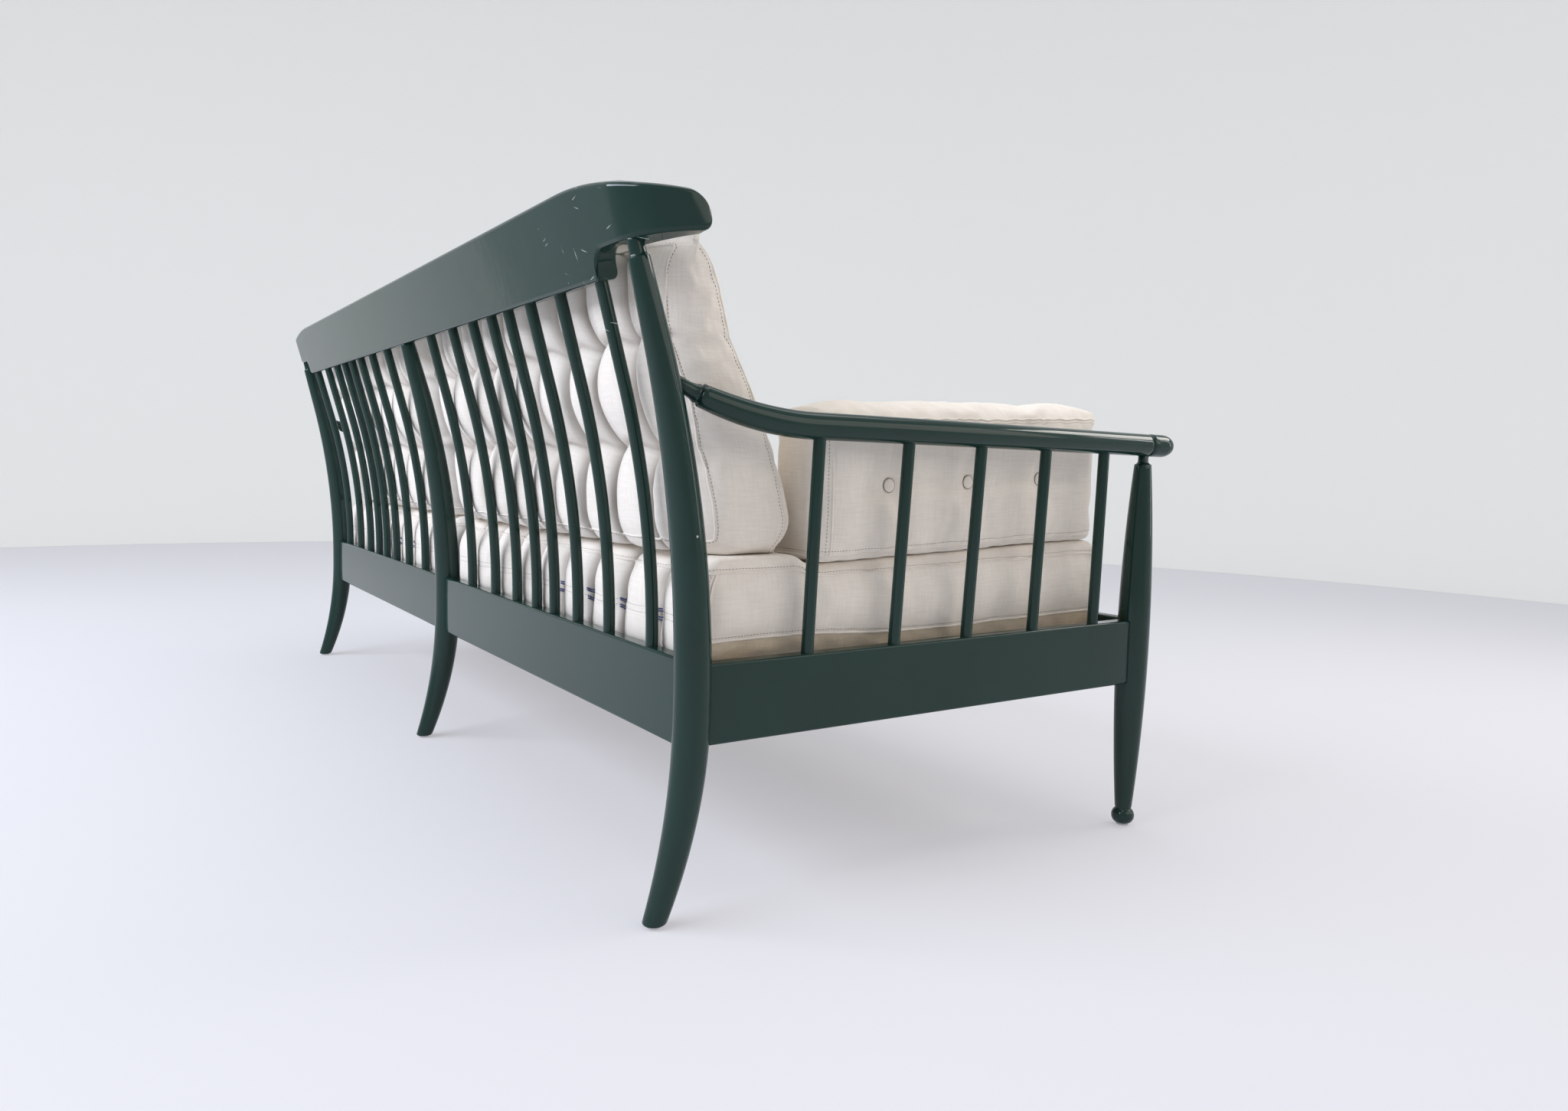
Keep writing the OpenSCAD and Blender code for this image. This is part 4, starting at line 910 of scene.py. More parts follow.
@dataclass
class CrestRail:
    """The crest rail: deep between the corner legs, thinner over them, with wings that turn forwards."""

    wing_start: float = 19.5
    wing_r: float = 80
    wing_l: float = 126
    tip_h: float = 40
    tip_top_r: float = 21
    tip_low_r: float = 13
    droop: float = 9
    fall_l: float = 140
    notch_in: float = 85.5
    notch_r: float = 26
    tip_round: float = 5
    lip_r: float = 4
    corner_steps: int = 6

    def tip_corner(self, s: float, r: float) -> float:
        """Rounding of a corner of the tip, s along the outer face."""
        past = s - (self.wing_l - r)
        return 0.0 if past < 0 else r - math.sqrt(max(0.0, r * r - past * past))

    def top(self, s: float) -> float:
        """Height of the top edge above the entry of the corner legs, along the lean."""
        fall = (SIZES.crest_up + self.droop - self.tip_h) / (self.wing_l + self.fall_l) ** 2
        return SIZES.crest_up - fall * max(0, s + self.fall_l) ** 2 - self.tip_corner(s, self.tip_top_r)

    def low(self, s: float) -> float:
        """Height of the lower edge above the entry of the corner legs, along the lean."""
        notch, r = self.wing_start - self.notch_in, self.notch_r
        if s < notch:
            past = max(0, s - notch + self.lip_r)
            return -SIZES.crest_down + self.lip_r - math.sqrt(self.lip_r**2 - past * past)
        if s < notch + r:
            return math.sqrt(max(0, r * r - (notch + r - s) ** 2)) - r
        return self.tip_corner(s, self.tip_low_r) - self.droop * (max(0, s) / self.wing_l) ** 2

    def ring(self, s: float) -> Points:
        """One section of the right half.

        Args:
            s: distance past the start of the bend, along the outer face.

        Returns:
            The section's points in the part's frame.
        """
        turn = max(0, s) / self.wing_r
        arc = self.wing_r - SIZES.crest_t / 2
        start = SIZES.half_span - self.wing_start
        mx, mv = start + min(0, s) + arc * math.sin(turn), arc * (math.cos(turn) - 1)
        half = SIZES.crest_t / 2 - self.tip_corner(s, self.tip_round)
        top, low = self.top(s), self.low(s)
        e = min(SIZES.crest_edge, (top - low) / 2 - 0.2, half - 0.5)
        ease = min(1, max(0, (s + 20) / 30))
        drop = SIZES.crest_t * math.tan(SIZES.lean) * math.cos(turn) * ease
        points = []
        for out, up in ((1, 1), (-1, 1), (-1, -1), (1, -1)):
            for k in range(self.corner_steps + 1):
                a = math.radians(90 * k / self.corner_steps)
                a = a if out * up > 0 else math.pi / 2 - a
                v = out * (half - e + e * math.cos(a))
                hang = drop if (out, up) == (-1, -1) else 0
                w = top - e + e * math.sin(a) if up > 0 else low - hang + e - e * math.sin(a)
                points.append((mx + v * math.sin(turn), mv + v * math.cos(turn), w))
        p = np.array(points)
        return SIZES.from_crest(p[:, 0], p[:, 1], p[:, 2])

    def build(self) -> None:
        """Builds the whole rail from one end to the other."""
        notch = self.wing_start - self.notch_in
        stops = [-(SIZES.half_span - self.wing_start), -600, -300, -170]
        stops += list(np.linspace(-140, notch - 6, 8)) + [notch - 4, notch - 2, notch - 0.6, notch - 0.05]
        quarter = np.radians((8, 20, 32, 45, 58, 70, 80, 90)).tolist()
        stops += [notch + self.notch_r * (1 - math.cos(a)) for a in quarter]
        stops += list(np.linspace(-34, self.wing_l - self.tip_top_r, 34))
        stops += [self.wing_l - self.tip_top_r * (1 - math.sin(math.radians(a))) for a in range(8, 89, 8)]
        right = [self.ring(s) for s in stops]
        left = [ring * np.array([-1, 1, 1]) for ring in right[:0:-1]]
        rail = even_normals(loft("shaped_crest_rail", np.array(left + right), LACQUER))
        hand_over(rail, "frame", "lacquered_wood", "crest_rail")


@dataclass
class Armrests:
    """The two armrests: round bars with a turned neck at the back and a knob in front."""

    sides: int = 44
    neck_d: float = 17
    shoulder: float = 1

    def stations(self) -> list[tuple[float, float]]:
        """Distances along the bar and its radius there."""
        s = self.shoulder
        r0, full, knob = self.neck_d / 2, SIZES.arm_d / 2, SIZES.knob_d / 2
        groove, end, nose = SIZES.leg_depth + 6, SIZES.leg_depth + SIZES.arm_over, 22
        made = [(-40, r0), (s - 16, r0), (s - 12, r0 + 0.5), (s - 9, r0 + 1.1), (s - 6.5, r0 + 2.2)]
        made += [(s - 4.6, r0 + 3.1), (s - 3.4, r0 + 3.0), (s - 2.6, r0 + 2.3), (s - 1.9, r0 + 2.2)]
        made += [(s - 1.2, r0 + 2.8), (s - 0.5, full - 3.8)]
        made += [(s + (SIZES.arm_level - s) * t, full - 3 * (1 - t) ** 3) for t in np.linspace(0, 1, 26)]
        made += [(d, full) for d in np.linspace(SIZES.arm_level + 8, groove - 6, 60)]
        made += [(groove - 3.4, full - 0.1), (groove - 2.2, full - 0.9), (groove - 1, full - 2.5)]
        made += [(groove, full - 3), (groove + 1, full - 2.4), (groove + 2.4, knob - 1.0)]
        made += [(groove + 4, knob - 0.4), (groove + 7, knob)]
        made += [(d, knob) for d in np.linspace(groove + 12, end - nose, 4)]
        for a in np.radians(np.linspace(6, 90, 15)):
            made.append((end - nose * (1 - math.sin(a)), knob - SIZES.knob_d * 0.36 * (1 - math.cos(a))))
        made += [(end, knob * 0.2)]
        return made

    def build(self) -> None:
        """Builds both armrests."""
        rings = []
        a = np.linspace(0, 2 * math.pi, self.sides, endpoint=False)
        for d, r in self.stations():
            middle = SIZES.arm_line(d)
            along = SIZES.arm_line(d + 1) - SIZES.arm_line(d - 1)
            along /= np.linalg.norm(along)
            across = np.cross(along, (0, 0, 1))
            across /= np.linalg.norm(across)
            up = np.cross(across, along)
            rings.append(middle + r * (np.cos(a)[:, None] * across + np.sin(a)[:, None] * up))
        for side in Side:
            bar = loft(f"turned_armrest_{side.word}", np.array(rings) * side.mirror, LACQUER)
            hand_over(bar, "frame", "lacquered_wood", f"armrest_{side.word}")


@dataclass
class Spindles:
    """The bent spindles of the back and the straight ones under the armrests."""

    per_bay: int = 8
    middle_gap: float = 73
    growth: float = 1.2
    shift: float = 24.25
    sides: int = 28
    arm_places: tuple[float, ...] = (156.3, 289.6, 411.9, 534.2, 656.5)

    def back_axis(self) -> Points:
        """The line of one back spindle, from its socket in the rail to the crest rail, at x = 0."""
        top = SIZES.crest_z - SIZES.crest_down * math.cos(SIZES.lean) + 8
        z = np.concatenate([[SIZES.back_rail_top - 8], np.linspace(SIZES.back_rail_top, top, 40)])
        return np.stack([np.zeros_like(z), SIZES.rear_y + SIZES.spindle_y(z), z], -1)

    def back_pattern(self) -> Pattern:
        """Copies one bent rod along both bays, with gaps that grow from each bay's middle."""
        p = Pattern("back spindles")
        count = p.take("Spindles per Bay", "Int", self.per_bay)
        gap = p.take("Middle Gap", "Float", self.middle_gap * MM)
        growth = p.take("Gap Growth", "Float", self.growth)
        centre = p.take("Bay Centre", "Float", (SIZES.half_span / 2 + self.shift) * MM)
        radius = p.take("Rod Radius", "Float", SIZES.spindle_d / 2 * MM)
        sides = p.take("Rod Sides", "Int", self.sides)
        rod = p.rods(sides, radius)
        row = p.add("GeometryNodeMeshLine", {"Count": count, "Offset": (0.0, 0.0, 0.0)}, mode="OFFSET")
        last = p.maths("SUBTRACT", count, 1.0)
        half = p.maths("MULTIPLY", last, 0.5)
        off = p.maths("SUBTRACT", p.add("GeometryNodeInputIndex"), half)
        steps = p.maths("SUBTRACT", p.maths("ABSOLUTE", off), 0.5)
        # Sum of a growing series of gaps, from the middle one outwards
        grown = p.maths("SUBTRACT", p.maths("POWER", growth, steps), 1.0)
        share = p.maths("DIVIDE", p.maths("MULTIPLY", growth, grown), p.maths("SUBTRACT", growth, 1.0))
        reach = p.maths("MULTIPLY", gap, p.maths("ADD", share, 0.5))
        x = p.maths("MULTIPLY_ADD", p.maths("SIGN", off), reach, centre)
        right, left = (
            p.add("GeometryNodeSetPosition", {0: row, "Position": p.add("ShaderNodeCombineXYZ", {0: place})})
            for place in (x, p.maths("MULTIPLY", x, -1.0))
        )
        both = p.add("GeometryNodeJoinGeometry", {0: right})
        p.tree.links.new(left.outputs[0], both.inputs[0])
        p.end(p.add(COPIES, {0: both, "Instance": rod}), LACQUER)
        return p

    def build(self) -> None:
        """Builds the back spindles and the arm spindles."""
        back = self.back_pattern().grow("bent_back_spindles", guide_mesh([self.back_axis()]))
        nodes = [f"back_spindle_{side.word}_{i + 1}" for side in Side for i in range(self.per_bay)]
        hand_over(back, "frame", "lacquered_wood", *nodes)
        lines = []
        for side in Side:
            for d in self.arm_places:
                top = SIZES.arm_line(d)
                low = np.array([SIZES.rail_x(d), SIZES.rear_y - d, SIZES.rail_top(d) - 6])
                lines.append(np.array([low + (top - low) * t for t in (0, 0.5, 0.97)]) * side.mirror)
        rods = rod_pattern("arm spindles", SIZES.spindle_d / 2, self.sides, LACQUER)
        arms = rods.grow("straight_arm_spindles", guide_mesh(lines))
        nodes = [f"arm_spindle_{side.word}_{i + 1}" for side in Side for i in range(len(self.arm_places))]
        hand_over(arms, "frame", "lacquered_wood", *nodes)


def dress_seat_base() -> None:
    """Gives the carried-over solids under the cushions their finishes."""
    for names, finish in (
        (("centre_rail", "strap_battens", "corner_blocks"), WOOD),
        (("seat_straps",), WEBBING),
        (("strap_clips", "frame_screws", "foot_glides"), STEEL),
    ):
        for name in names:
            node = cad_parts[name]
            for slot in node.material_slots:
                slot.material = finish.make()
            LOG.info("%s: dressed in %s", name, finish.name)


# Cushions


def ramp(t: Points) -> Points:
    """Values held between zero and one."""
    return np.clip(t, 0.0, 1.0)


def soft_step(t: Points) -> Points:
    """Values held between zero and one, with eased ends."""
    t = np.clip(t, 0.0, 1.0)
    return t * t * (3 - 2 * t)


def crease(t: Points) -> Points:
    """Depth share of the valley between two round pillows: one on the crease, none midway."""
    return 1 - np.sqrt(np.maximum(0, 1 - (1 - ramp(t)) ** 2))


def unevenness(seed: int, points: Points, size: float) -> Points:
    """Smooth uneven values between about minus one and one.

    Args:
        seed: which of the many patterns.
        points: where the values are wanted, in millimetres.
        size: how far apart the lumps are.

    Returns:
        One value for each point.
    """
    chance = np.random.RandomState(seed)
    total = np.zeros(len(points))
    for _ in range(9):
        way = chance.normal(size=3)
        way *= 2 * math.pi / (size * chance.uniform(0.7, 1.8)) / np.linalg.norm(way)
        total += np.sin(points @ way + chance.uniform(0, 2 * math.pi))
    return total / 4.5


def cover_lines(length: float, edge: float, pitch: float, through: Sequence[float] = ()) -> Points:
    """Places of a cover's lines across one panel, closer on its rounded edges.

    Args:
        length: how wide the panel is.
        edge: radius of its rounded edges.
        pitch: distance between lines.
        through: places that a line has to pass through.

    Returns:
        The places, from 0 to the length.
    """
    marks = [edge, *sorted(through), length - edge]
    inner = [np.array([marks[0]])]
    for a, b in zip(marks, marks[1:]):
        inner.append(np.linspace(a, b, max(1, round((b - a) / pitch)) + 1)[1:])
    near = np.array([0.0, 0.586 * edge])
    return np.concatenate([near, *inner, length - near[::-1]])


def tufted_lines(length: float, edge: float, offsets: Sequence[float]) -> Points:
    """Places of a cover's lines across a tufted panel, closest at each crease.

    Args:
        length: how wide the panel is.
        edge: radius of its rounded edges.
        offsets: distances of the lines on either side of a crease.

    Returns:
        The places, from 0 to the length.
    """
    made = [0.0, 0.586 * edge, edge, length - edge, length - 0.586 * edge, length]
    for k in range(round(length / TUFT_PITCH) + 1):
        for off in offsets:
            made += [TUFT_PITCH * k - off, TUFT_PITCH * k + off]
    kept = np.unique(np.round([x for x in made if 0 <= x <= length], 3))
    # Lines that fall among those of a rounded edge are left out
    near = np.minimum(kept, length - kept)
    rim = np.isin(near.round(3), np.round([0.0, 0.586 * edge, edge], 3))
    return kept[rim | (near > edge + 2)]


@dataclass
class Seam:
    """A sewn line of a cover.

    row holds the numbers of the lattice corners that it follows, and beside how far off its stitches lie.
    pull is how far the line is laid behind each corner.
    """

    row: Points
    beside: Sequence[Sequence[float]]
    welt: bool = True
    pull: Any = None


@dataclass
class Cushion:
    """A boxed cushion whose cover is a lattice of quads over six panels.

    Its box lies in (x, d, h): across the sofa, forwards from the back legs' axes, and up from its foot.
    """

    side: Side
    kind: str
    low: tuple[float, float, float]
    size: tuple[float, float, float]
    pitch: float = 9.0
    edge: float = 15.0
    fill: float = 0.7
    seed: int = 1
    looseness: float = 0.02
    cap: float = 6.0
    lumps: float = 1.6
    obj: Any = None

    @property
    def body(self) -> str:
        """The body that the cushion is, as the record names it."""
        return f"{self.kind}_{self.side.word}"

    def lines(self, axis: int) -> Points:
        """Places of the cover's lines along one axis, from the box's low corner."""
        return cover_lines(self.size[axis], self.edge, self.pitch)

    def shape(self, box: Points) -> Points:
        """Turns points of the plain rounded box into the cushion's form.

        Args:
            box: rows of x, d and h.

        Returns:
            The points in the part's frame, for the right side.
        """
        raise NotImplementedError

    def room(self, points: Points) -> Points:
        """Keeps points of the right side clear of what the cushion rests on."""
        return points

    def held(self, box: Points) -> Points:
        """How firmly each point is sewn down or rests on something, from 0 to 1."""
        return np.zeros(len(box))

    def painted_crease_shade(self, box: Points) -> Points:
        """How much painted crease shade each point gets: how deep in a crease it lies, from 0 to 1."""
        return np.zeros(len(box))

    def rounded(self, box: Points) -> Points:
        """Rounds the edges and corners of the plain box."""
        low, size = np.array(self.low), np.array(self.size)
        inner = np.clip(box, low + self.edge, low + size - self.edge)
        away = box - inner
        length = np.linalg.norm(away, axis=1, keepdims=True)
        return np.where(length > 1e-9, inner + away / np.maximum(length, 1e-9) * self.edge, box)

    def lattice(self) -> tuple[Points, Points, Points]:
        """The cover's lattice.

        Returns:
            The corners in the plain box, the quads, and the cloth map of each quad's corners in metres.
        """
        self.axes = [self.low[k] + self.lines(k) for k in range(3)]
        counts = [len(a) for a in self.axes]
        self.number = -np.ones(counts, int)
        shell = np.zeros(counts, bool)
        for k in range(3):
            index: list[Any] = [slice(None)] * 3
            for end in (0, -1):
                index[k] = end
                shell[tuple(index)] = True
        self.number[shell] = np.arange(shell.sum())
        where = np.argwhere(shell)
        box = np.stack([self.axes[k][where[:, k]] for k in range(3)], -1)
        quads, maps = [], []
        for k in range(3):
            p, q = [j for j in range(3) if j != k]
            for end in (0, -1):
                index = [slice(None)] * 3
                index[k] = end
                grid = self.number[tuple(index)]
                quad = grid_quads(grid)[:, [0, 3, 2, 1]]
                quad = quad[:, ::-1] if (k == 1) == (end == -1) else quad
                quads.append(quad)
                maps.append(box[quad][:, :, [p, q]] * MM + 0.37 * k + 0.19 * end)
        return box, np.concatenate(quads), np.concatenate(maps)

    def at(self, axis: int, place: float) -> int:
        """Number of the lattice line nearest to a place on one axis."""
        return int(np.argmin(np.abs(self.axes[axis] - place)))

    def hoop(self, axis: int, index: int) -> Points:
        """Corners round the cushion on one lattice line of an axis."""
        ring = np.take(self.number, index, axis)
        return np.concatenate([ring[:-1, 0], ring[-1, :-1], ring[:0:-1, -1], ring[0, ::-1]])

    def seam_lines(self) -> list[Seam]:
        """The cushion's seams: round the top and the bottom panel, unless it is sewn another way."""
        last = len(self.axes[2]) - 2
        return [Seam(self.hoop(2, 1), [(0, 0, 7)]), Seam(self.hoop(2, last), [(0, 0, -7)])]

    def base_cloth(self, box: Points, quads: Points) -> Points:
        """Which quads are cut from the base cloth, whose darker tint also paints the shade on the underside.
        """
        return np.zeros(len(quads), bool)

    def build(self) -> None:
        """Builds the cover in its sewn form, before it is blown up."""
        box, quads, maps = self.lattice()
        rounded = self.rounded(box)
        points = self.shape(rounded)
        self.weight = np.clip(self.held(rounded), 0, 1)
        self.points = points
        self.seams = self.seam_lines()
        for seam in self.seams:
            self.weight[seam.row] = np.maximum(self.weight[seam.row], 0.7)
        swell = unevenness(self.seed, points, size=130)[:, None] * np.array([0.5, 1.0, 1.0]) * self.lumps
        pucker = unevenness(self.seed + 9, points, size=34)[:, None] * 0.45
        points = points + (swell + pucker) * (1 - 0.75 * self.weight)[:, None]
        self.points = self.room(points) * self.side.mirror
        turned = outward(self.points, quads)
        if not np.array_equal(turned, quads):
            maps = maps[:, ::-1]
        obj = piece(f"sewn_{self.kind}_cushion_{self.side.word}", self.points, turned, LINEN)
        obj.data.materials.append(BASE_CLOTH.make())
        cloth = obj.data.uv_layers.new(name="cloth")
        cloth.data.foreach_set("uv", maps.astype(np.float32).ravel())
        kinds = np.where(self.base_cloth(box, quads), Panel.BASE_CLOTH.value, Panel.LINEN.value)
        obj.data.polygons.foreach_set("material_index", kinds.astype(np.int32))
        # The fold attribute says how much painted crease shade the cloth gets at each point
        fold = obj.data.attributes.new("fold", "FLOAT", "POINT")
        fold.data.foreach_set("value", ramp(self.painted_crease_shade(rounded)).astype(np.float32))
        group = obj.vertex_groups.new(name="sewn down")
        shares = np.round(self.weight, 2)
        for value in np.unique(shares[shares > 0]):
            group.add(np.nonzero(shares == value)[0].tolist(), float(value), "REPLACE")
        self.obj = obj

    def blow_up(self) -> None:
        """Adds the cloth that swells under pressure while its seams and tufts hold."""
        modifier = self.obj.modifiers.new("filling", "CLOTH")
        s = modifier.settings
        s.quality = 4
        s.mass = 0.25
        s.tension_stiffness = s.compression_stiffness = 15
        s.shear_stiffness = 5
        s.bending_stiffness = 0.3
        s.tension_damping = s.compression_damping = 6
        s.use_pressure = True
        s.uniform_pressure_force = 3.5
        s.effector_weights.gravity = 0
        s.shrink_min = -self.looseness
        s.vertex_group_mass = "sewn down"
        s.pin_stiffness = 1
        modifier.collision_settings.use_collision = False

    def settle(self) -> None:
        """Keeps the swollen form, within the cap and the room that the cushion has."""
        modifier = self.obj.modifiers.get("filling")
        if modifier:
            graph = bpy.context.evaluated_depsgraph_get()
            swollen = self.obj.evaluated_get(graph).data
            moved = places_of(swollen) / MM - self.points
            length = np.linalg.norm(moved, axis=1, keepdims=True)
            LOG.info("%s swelled %.1f mm, at most %.1f mm", self.obj.name, length.mean(), length.max())
            self.points = self.points + moved * np.minimum(1, self.cap / np.maximum(length, 1e-6))
            self.obj.modifiers.remove(modifier)
            mirror = self.side.mirror
            self.points = self.room(self.points * mirror) * mirror
            self.obj.data.vertices.foreach_set("co", (self.points * MM).astype(np.float32).ravel())
        smooth = self.obj.modifiers.new("smooth cover", "SUBSURF")
        smooth.levels = smooth.render_levels = 1
        self.obj.vertex_groups.clear()
        self.obj.data.update()
        hand_over(self.obj, self.body, "linen", f"{self.kind}_cushion_{self.side.word}")
        bpy.context.view_layer.update()
        self.skin = BVHTree.FromObject(self.obj, bpy.context.evaluated_depsgraph_get())

    def on_skin(self, points: Points, lift: float) -> tuple[Points, Points]:
        """Nearest places on the finished cover.

        Args:
            points: rows of points in millimetres.
            lift: how far off the cover they end up.

        Returns:
            The places, and the directions away from the cover.
        """
        places, ways = [], []
        for p in points:
            at, way, _, _ = self.skin.find_nearest(Vector(p * MM))
            places.append(np.array(at) / MM + np.array(way) * lift)
            ways.append(np.array(way))
        return np.array(places), np.array(ways)

    def sew(self) -> None:
        """Adds the ridges of the seams and the rows of stitches beside them."""
        welts, ways, rows, row_ways = [], [], [], []
        for seam in self.seams:
            path = self.points[seam.row].copy()
            if seam.pull is not None:
                path[:, 1] += seam.pull
            if seam.welt:
                places, away = self.on_skin(path, lift=-0.1)
                welts.append(places)
                ways.append(away)
            for shift in seam.beside:
                places, away = self.on_skin(path + np.array(shift) * self.side.mirror, lift=0.12)
                rows.append(places)
                row_ways.append(away)
        word = self.side.word
        ridges = rod_pattern(f"{self.kind} seams", radius=1.5, sides=8, finish=LINEN)
        welt = ridges.grow(f"{self.kind}_seams_{word}", guide_mesh(welts, ways))
        map_cloth(welt)
        hand_over(welt, self.body, "linen")
        stitched = stitch_pattern(
            f"{self.kind} stitches", pitch=4.6, length=3.2, radius=0.42, finish=SHADE_THREAD
        )
        rows_made = stitched.grow(f"{self.kind}_stitches_{word}", guide_mesh(rows, row_ways))
        hand_over(rows_made, self.body, "linen")

    def fasten(self, places: list[Points], ways: list[Points]) -> None:
        """Adds covered buttons, each ringed by a thin dark cord that paints the shadow where the cloth folds
        in round it.

        Args:
            places: for each button, its place as one row.
            ways: for each button, the direction that it faces as one row.
        """
        word = self.side.word
        buttons = button_pattern(LINEN).grow(f"{self.kind}_cushion_buttons_{word}", guide_mesh(places, ways))
        map_cloth(buttons)
        # Painted shade: a thin dark cord round each button stands in for the shadow line where the cloth
        # folds in under it
        folds = rod_pattern("button folds", radius=0.65, sides=6, finish=SHADE_THREAD)
        rings = folds.grow(f"{self.kind}_button_folds_{word}", guide_mesh(button_shadow_rings(places, ways)))
        hand_over(rings, self.body, "linen")
        hand_over(buttons, self.body, "linen", f"{self.kind}_buttons_{word}")


def stitch_pattern(name: str, pitch: float, length: float, radius: float, finish: Finish) -> Pattern:
    """A pattern of sewn stitches along lines.

    Args:
        name: the tree's name.
        pitch: distance between stitches in millimetres.
        length: length of a stitch.
        radius: radius of the thread.
        finish: the thread's finish.

    Returns:
        The pattern.
    """
    p = Pattern(name)
    step = p.take("Pitch", "Float", pitch * MM)
    size = p.take("Stitch Size", "Vector", (length * MM, 2 * radius * MM, 2 * radius * MM))
    line = p.add("GeometryNodeMeshToCurve", {0: p.start.outputs[0]})
    spaced = p.add("GeometryNodeResampleCurve", {0: line, "Length": step}, mode="LENGTH")
    stitch = p.add("GeometryNodeMeshUVSphere", {"Segments": 6, "Rings": 4, "Radius": 0.5})
    along = p.add(ALIGN, {"Vector": p.add("GeometryNodeInputTangent")}, axis="X")
    laid = p.add(ALIGN, {"Rotation": along, "Vector": p.away()}, axis="Z", pivot_axis="X")
    p.end(p.add(COPIES, {0: spaced, "Instance": stitch, "Rotation": laid, "Scale": size}), finish)
    return p


def button_shadow_rings(places: Sequence[Points], ways: Sequence[Points]) -> list[Points]:
    """Round lines for the dark cords that paint the shadow where the cloth folds in under each button.

    Args:
        places: for each button, its place as one row.
        ways: for each button, the direction that it faces as one row.

    Returns:
        One closed line for each button.
    """
    turn = np.linspace(0, 2 * math.pi, 25)
    rings = []
    for place, way in zip(places, ways):
        across = np.cross(way[0], (0.0, 0.0, 1.0))
        across /= np.linalg.norm(across)
        up = np.cross(across, way[0])
        circle = np.cos(turn)[:, None] * across + np.sin(turn)[:, None] * up
        rings.append(place - way * 0.1 + (BUTTON_R + 0.3) * circle)
    return rings


def button_pattern(finish: Finish) -> Pattern:
    """A pattern of cloth-covered buttons, with a rolled edge, at points."""
    p = Pattern("covered buttons")
    radius = p.take("Button Radius", "Float", BUTTON_R * MM)
    height = p.take("Button Height", "Float", 3.4 * MM)
    dome = p.add("GeometryNodeMeshUVSphere", {"Segments": 32, "Rings": 20, "Radius": 1.0})
    parts = p.add("ShaderNodeSeparateXYZ", {0: p.add("GeometryNodeInputPosition")})
    squares = [p.maths("POWER", parts.outputs[k], 2.0) for k in (0, 1)]
    reach = p.maths("SQRT", p.maths("ADD", *squares))
    # The top is flattened between the middle and the rolled edge
    inner = p.maths("POWER", reach, 4.0)
    flat = p.maths("MULTIPLY_ADD", inner, 0.18, 0.82)
    z = p.maths("MULTIPLY", parts.outputs[2], p.maths("MULTIPLY", flat, height))
    x, y = (p.maths("MULTIPLY", parts.outputs[k], radius) for k in (0, 1))
    shaped = p.add(
        "GeometryNodeSetPosition", {0: dome, "Position": p.add("ShaderNodeCombineXYZ", {0: x, 1: y, 2: z})}
    )
    facing = p.add(ALIGN, {"Vector": p.away()}, axis="Z")
    dots = p.add("GeometryNodeMeshToPoints", {0: p.start.outputs[0]})
    p.end(p.add(COPIES, {0: dots, "Instance": shaped, "Rotation": facing}), finish)
    return p


# Steps of the cloth simulation
FRAMES = 18
BUTTON_R = 9.0
BUTTON_LIFT = 1.6
# Distance between creases, and how many of them a row has
TUFT_PITCH = 105.5
TUFTS = 8
# Play that the cushions leave one another
EASE = 0.4
# How far a seat cushion's foot lies above the webbing, over the straps' clips
FOOT = 1.4
SEAT_T = 127.0
SEAT_LOW = (EASE, 10.4, 0.0)
ARM_FACES = 56.0
ARM_MID_X = 901.0
ARM_INSIDE_X = 838.0
ARM_D = (180.0, 721.5)
BACK_X = (2.4, 935.1)
BACK_TOP_Z = 808.3
# How far a back cushion's rear lies in front of the spindles' axes
BACK_GAP = 8.4


def seat_top(d: Points) -> Points:
    """Height of a seat cushion's flat top."""
    return SIZES.web_z(d) + FOOT + SEAT_T


def from_crease(x: Points, start: float) -> Points:
    """Distance of each place from the nearest of a row of creases."""
    return np.abs(x - start - TUFT_PITCH * np.round((x - start) / TUFT_PITCH))


def sink(d: Points) -> Points:
    """How far an arm cushion presses the seat cushion down."""
    return 14 * ramp((d - ARM_D[0] + 22) / 20) * ramp((ARM_D[1] - d) / (ARM_D[1] - ARM_D[0]))


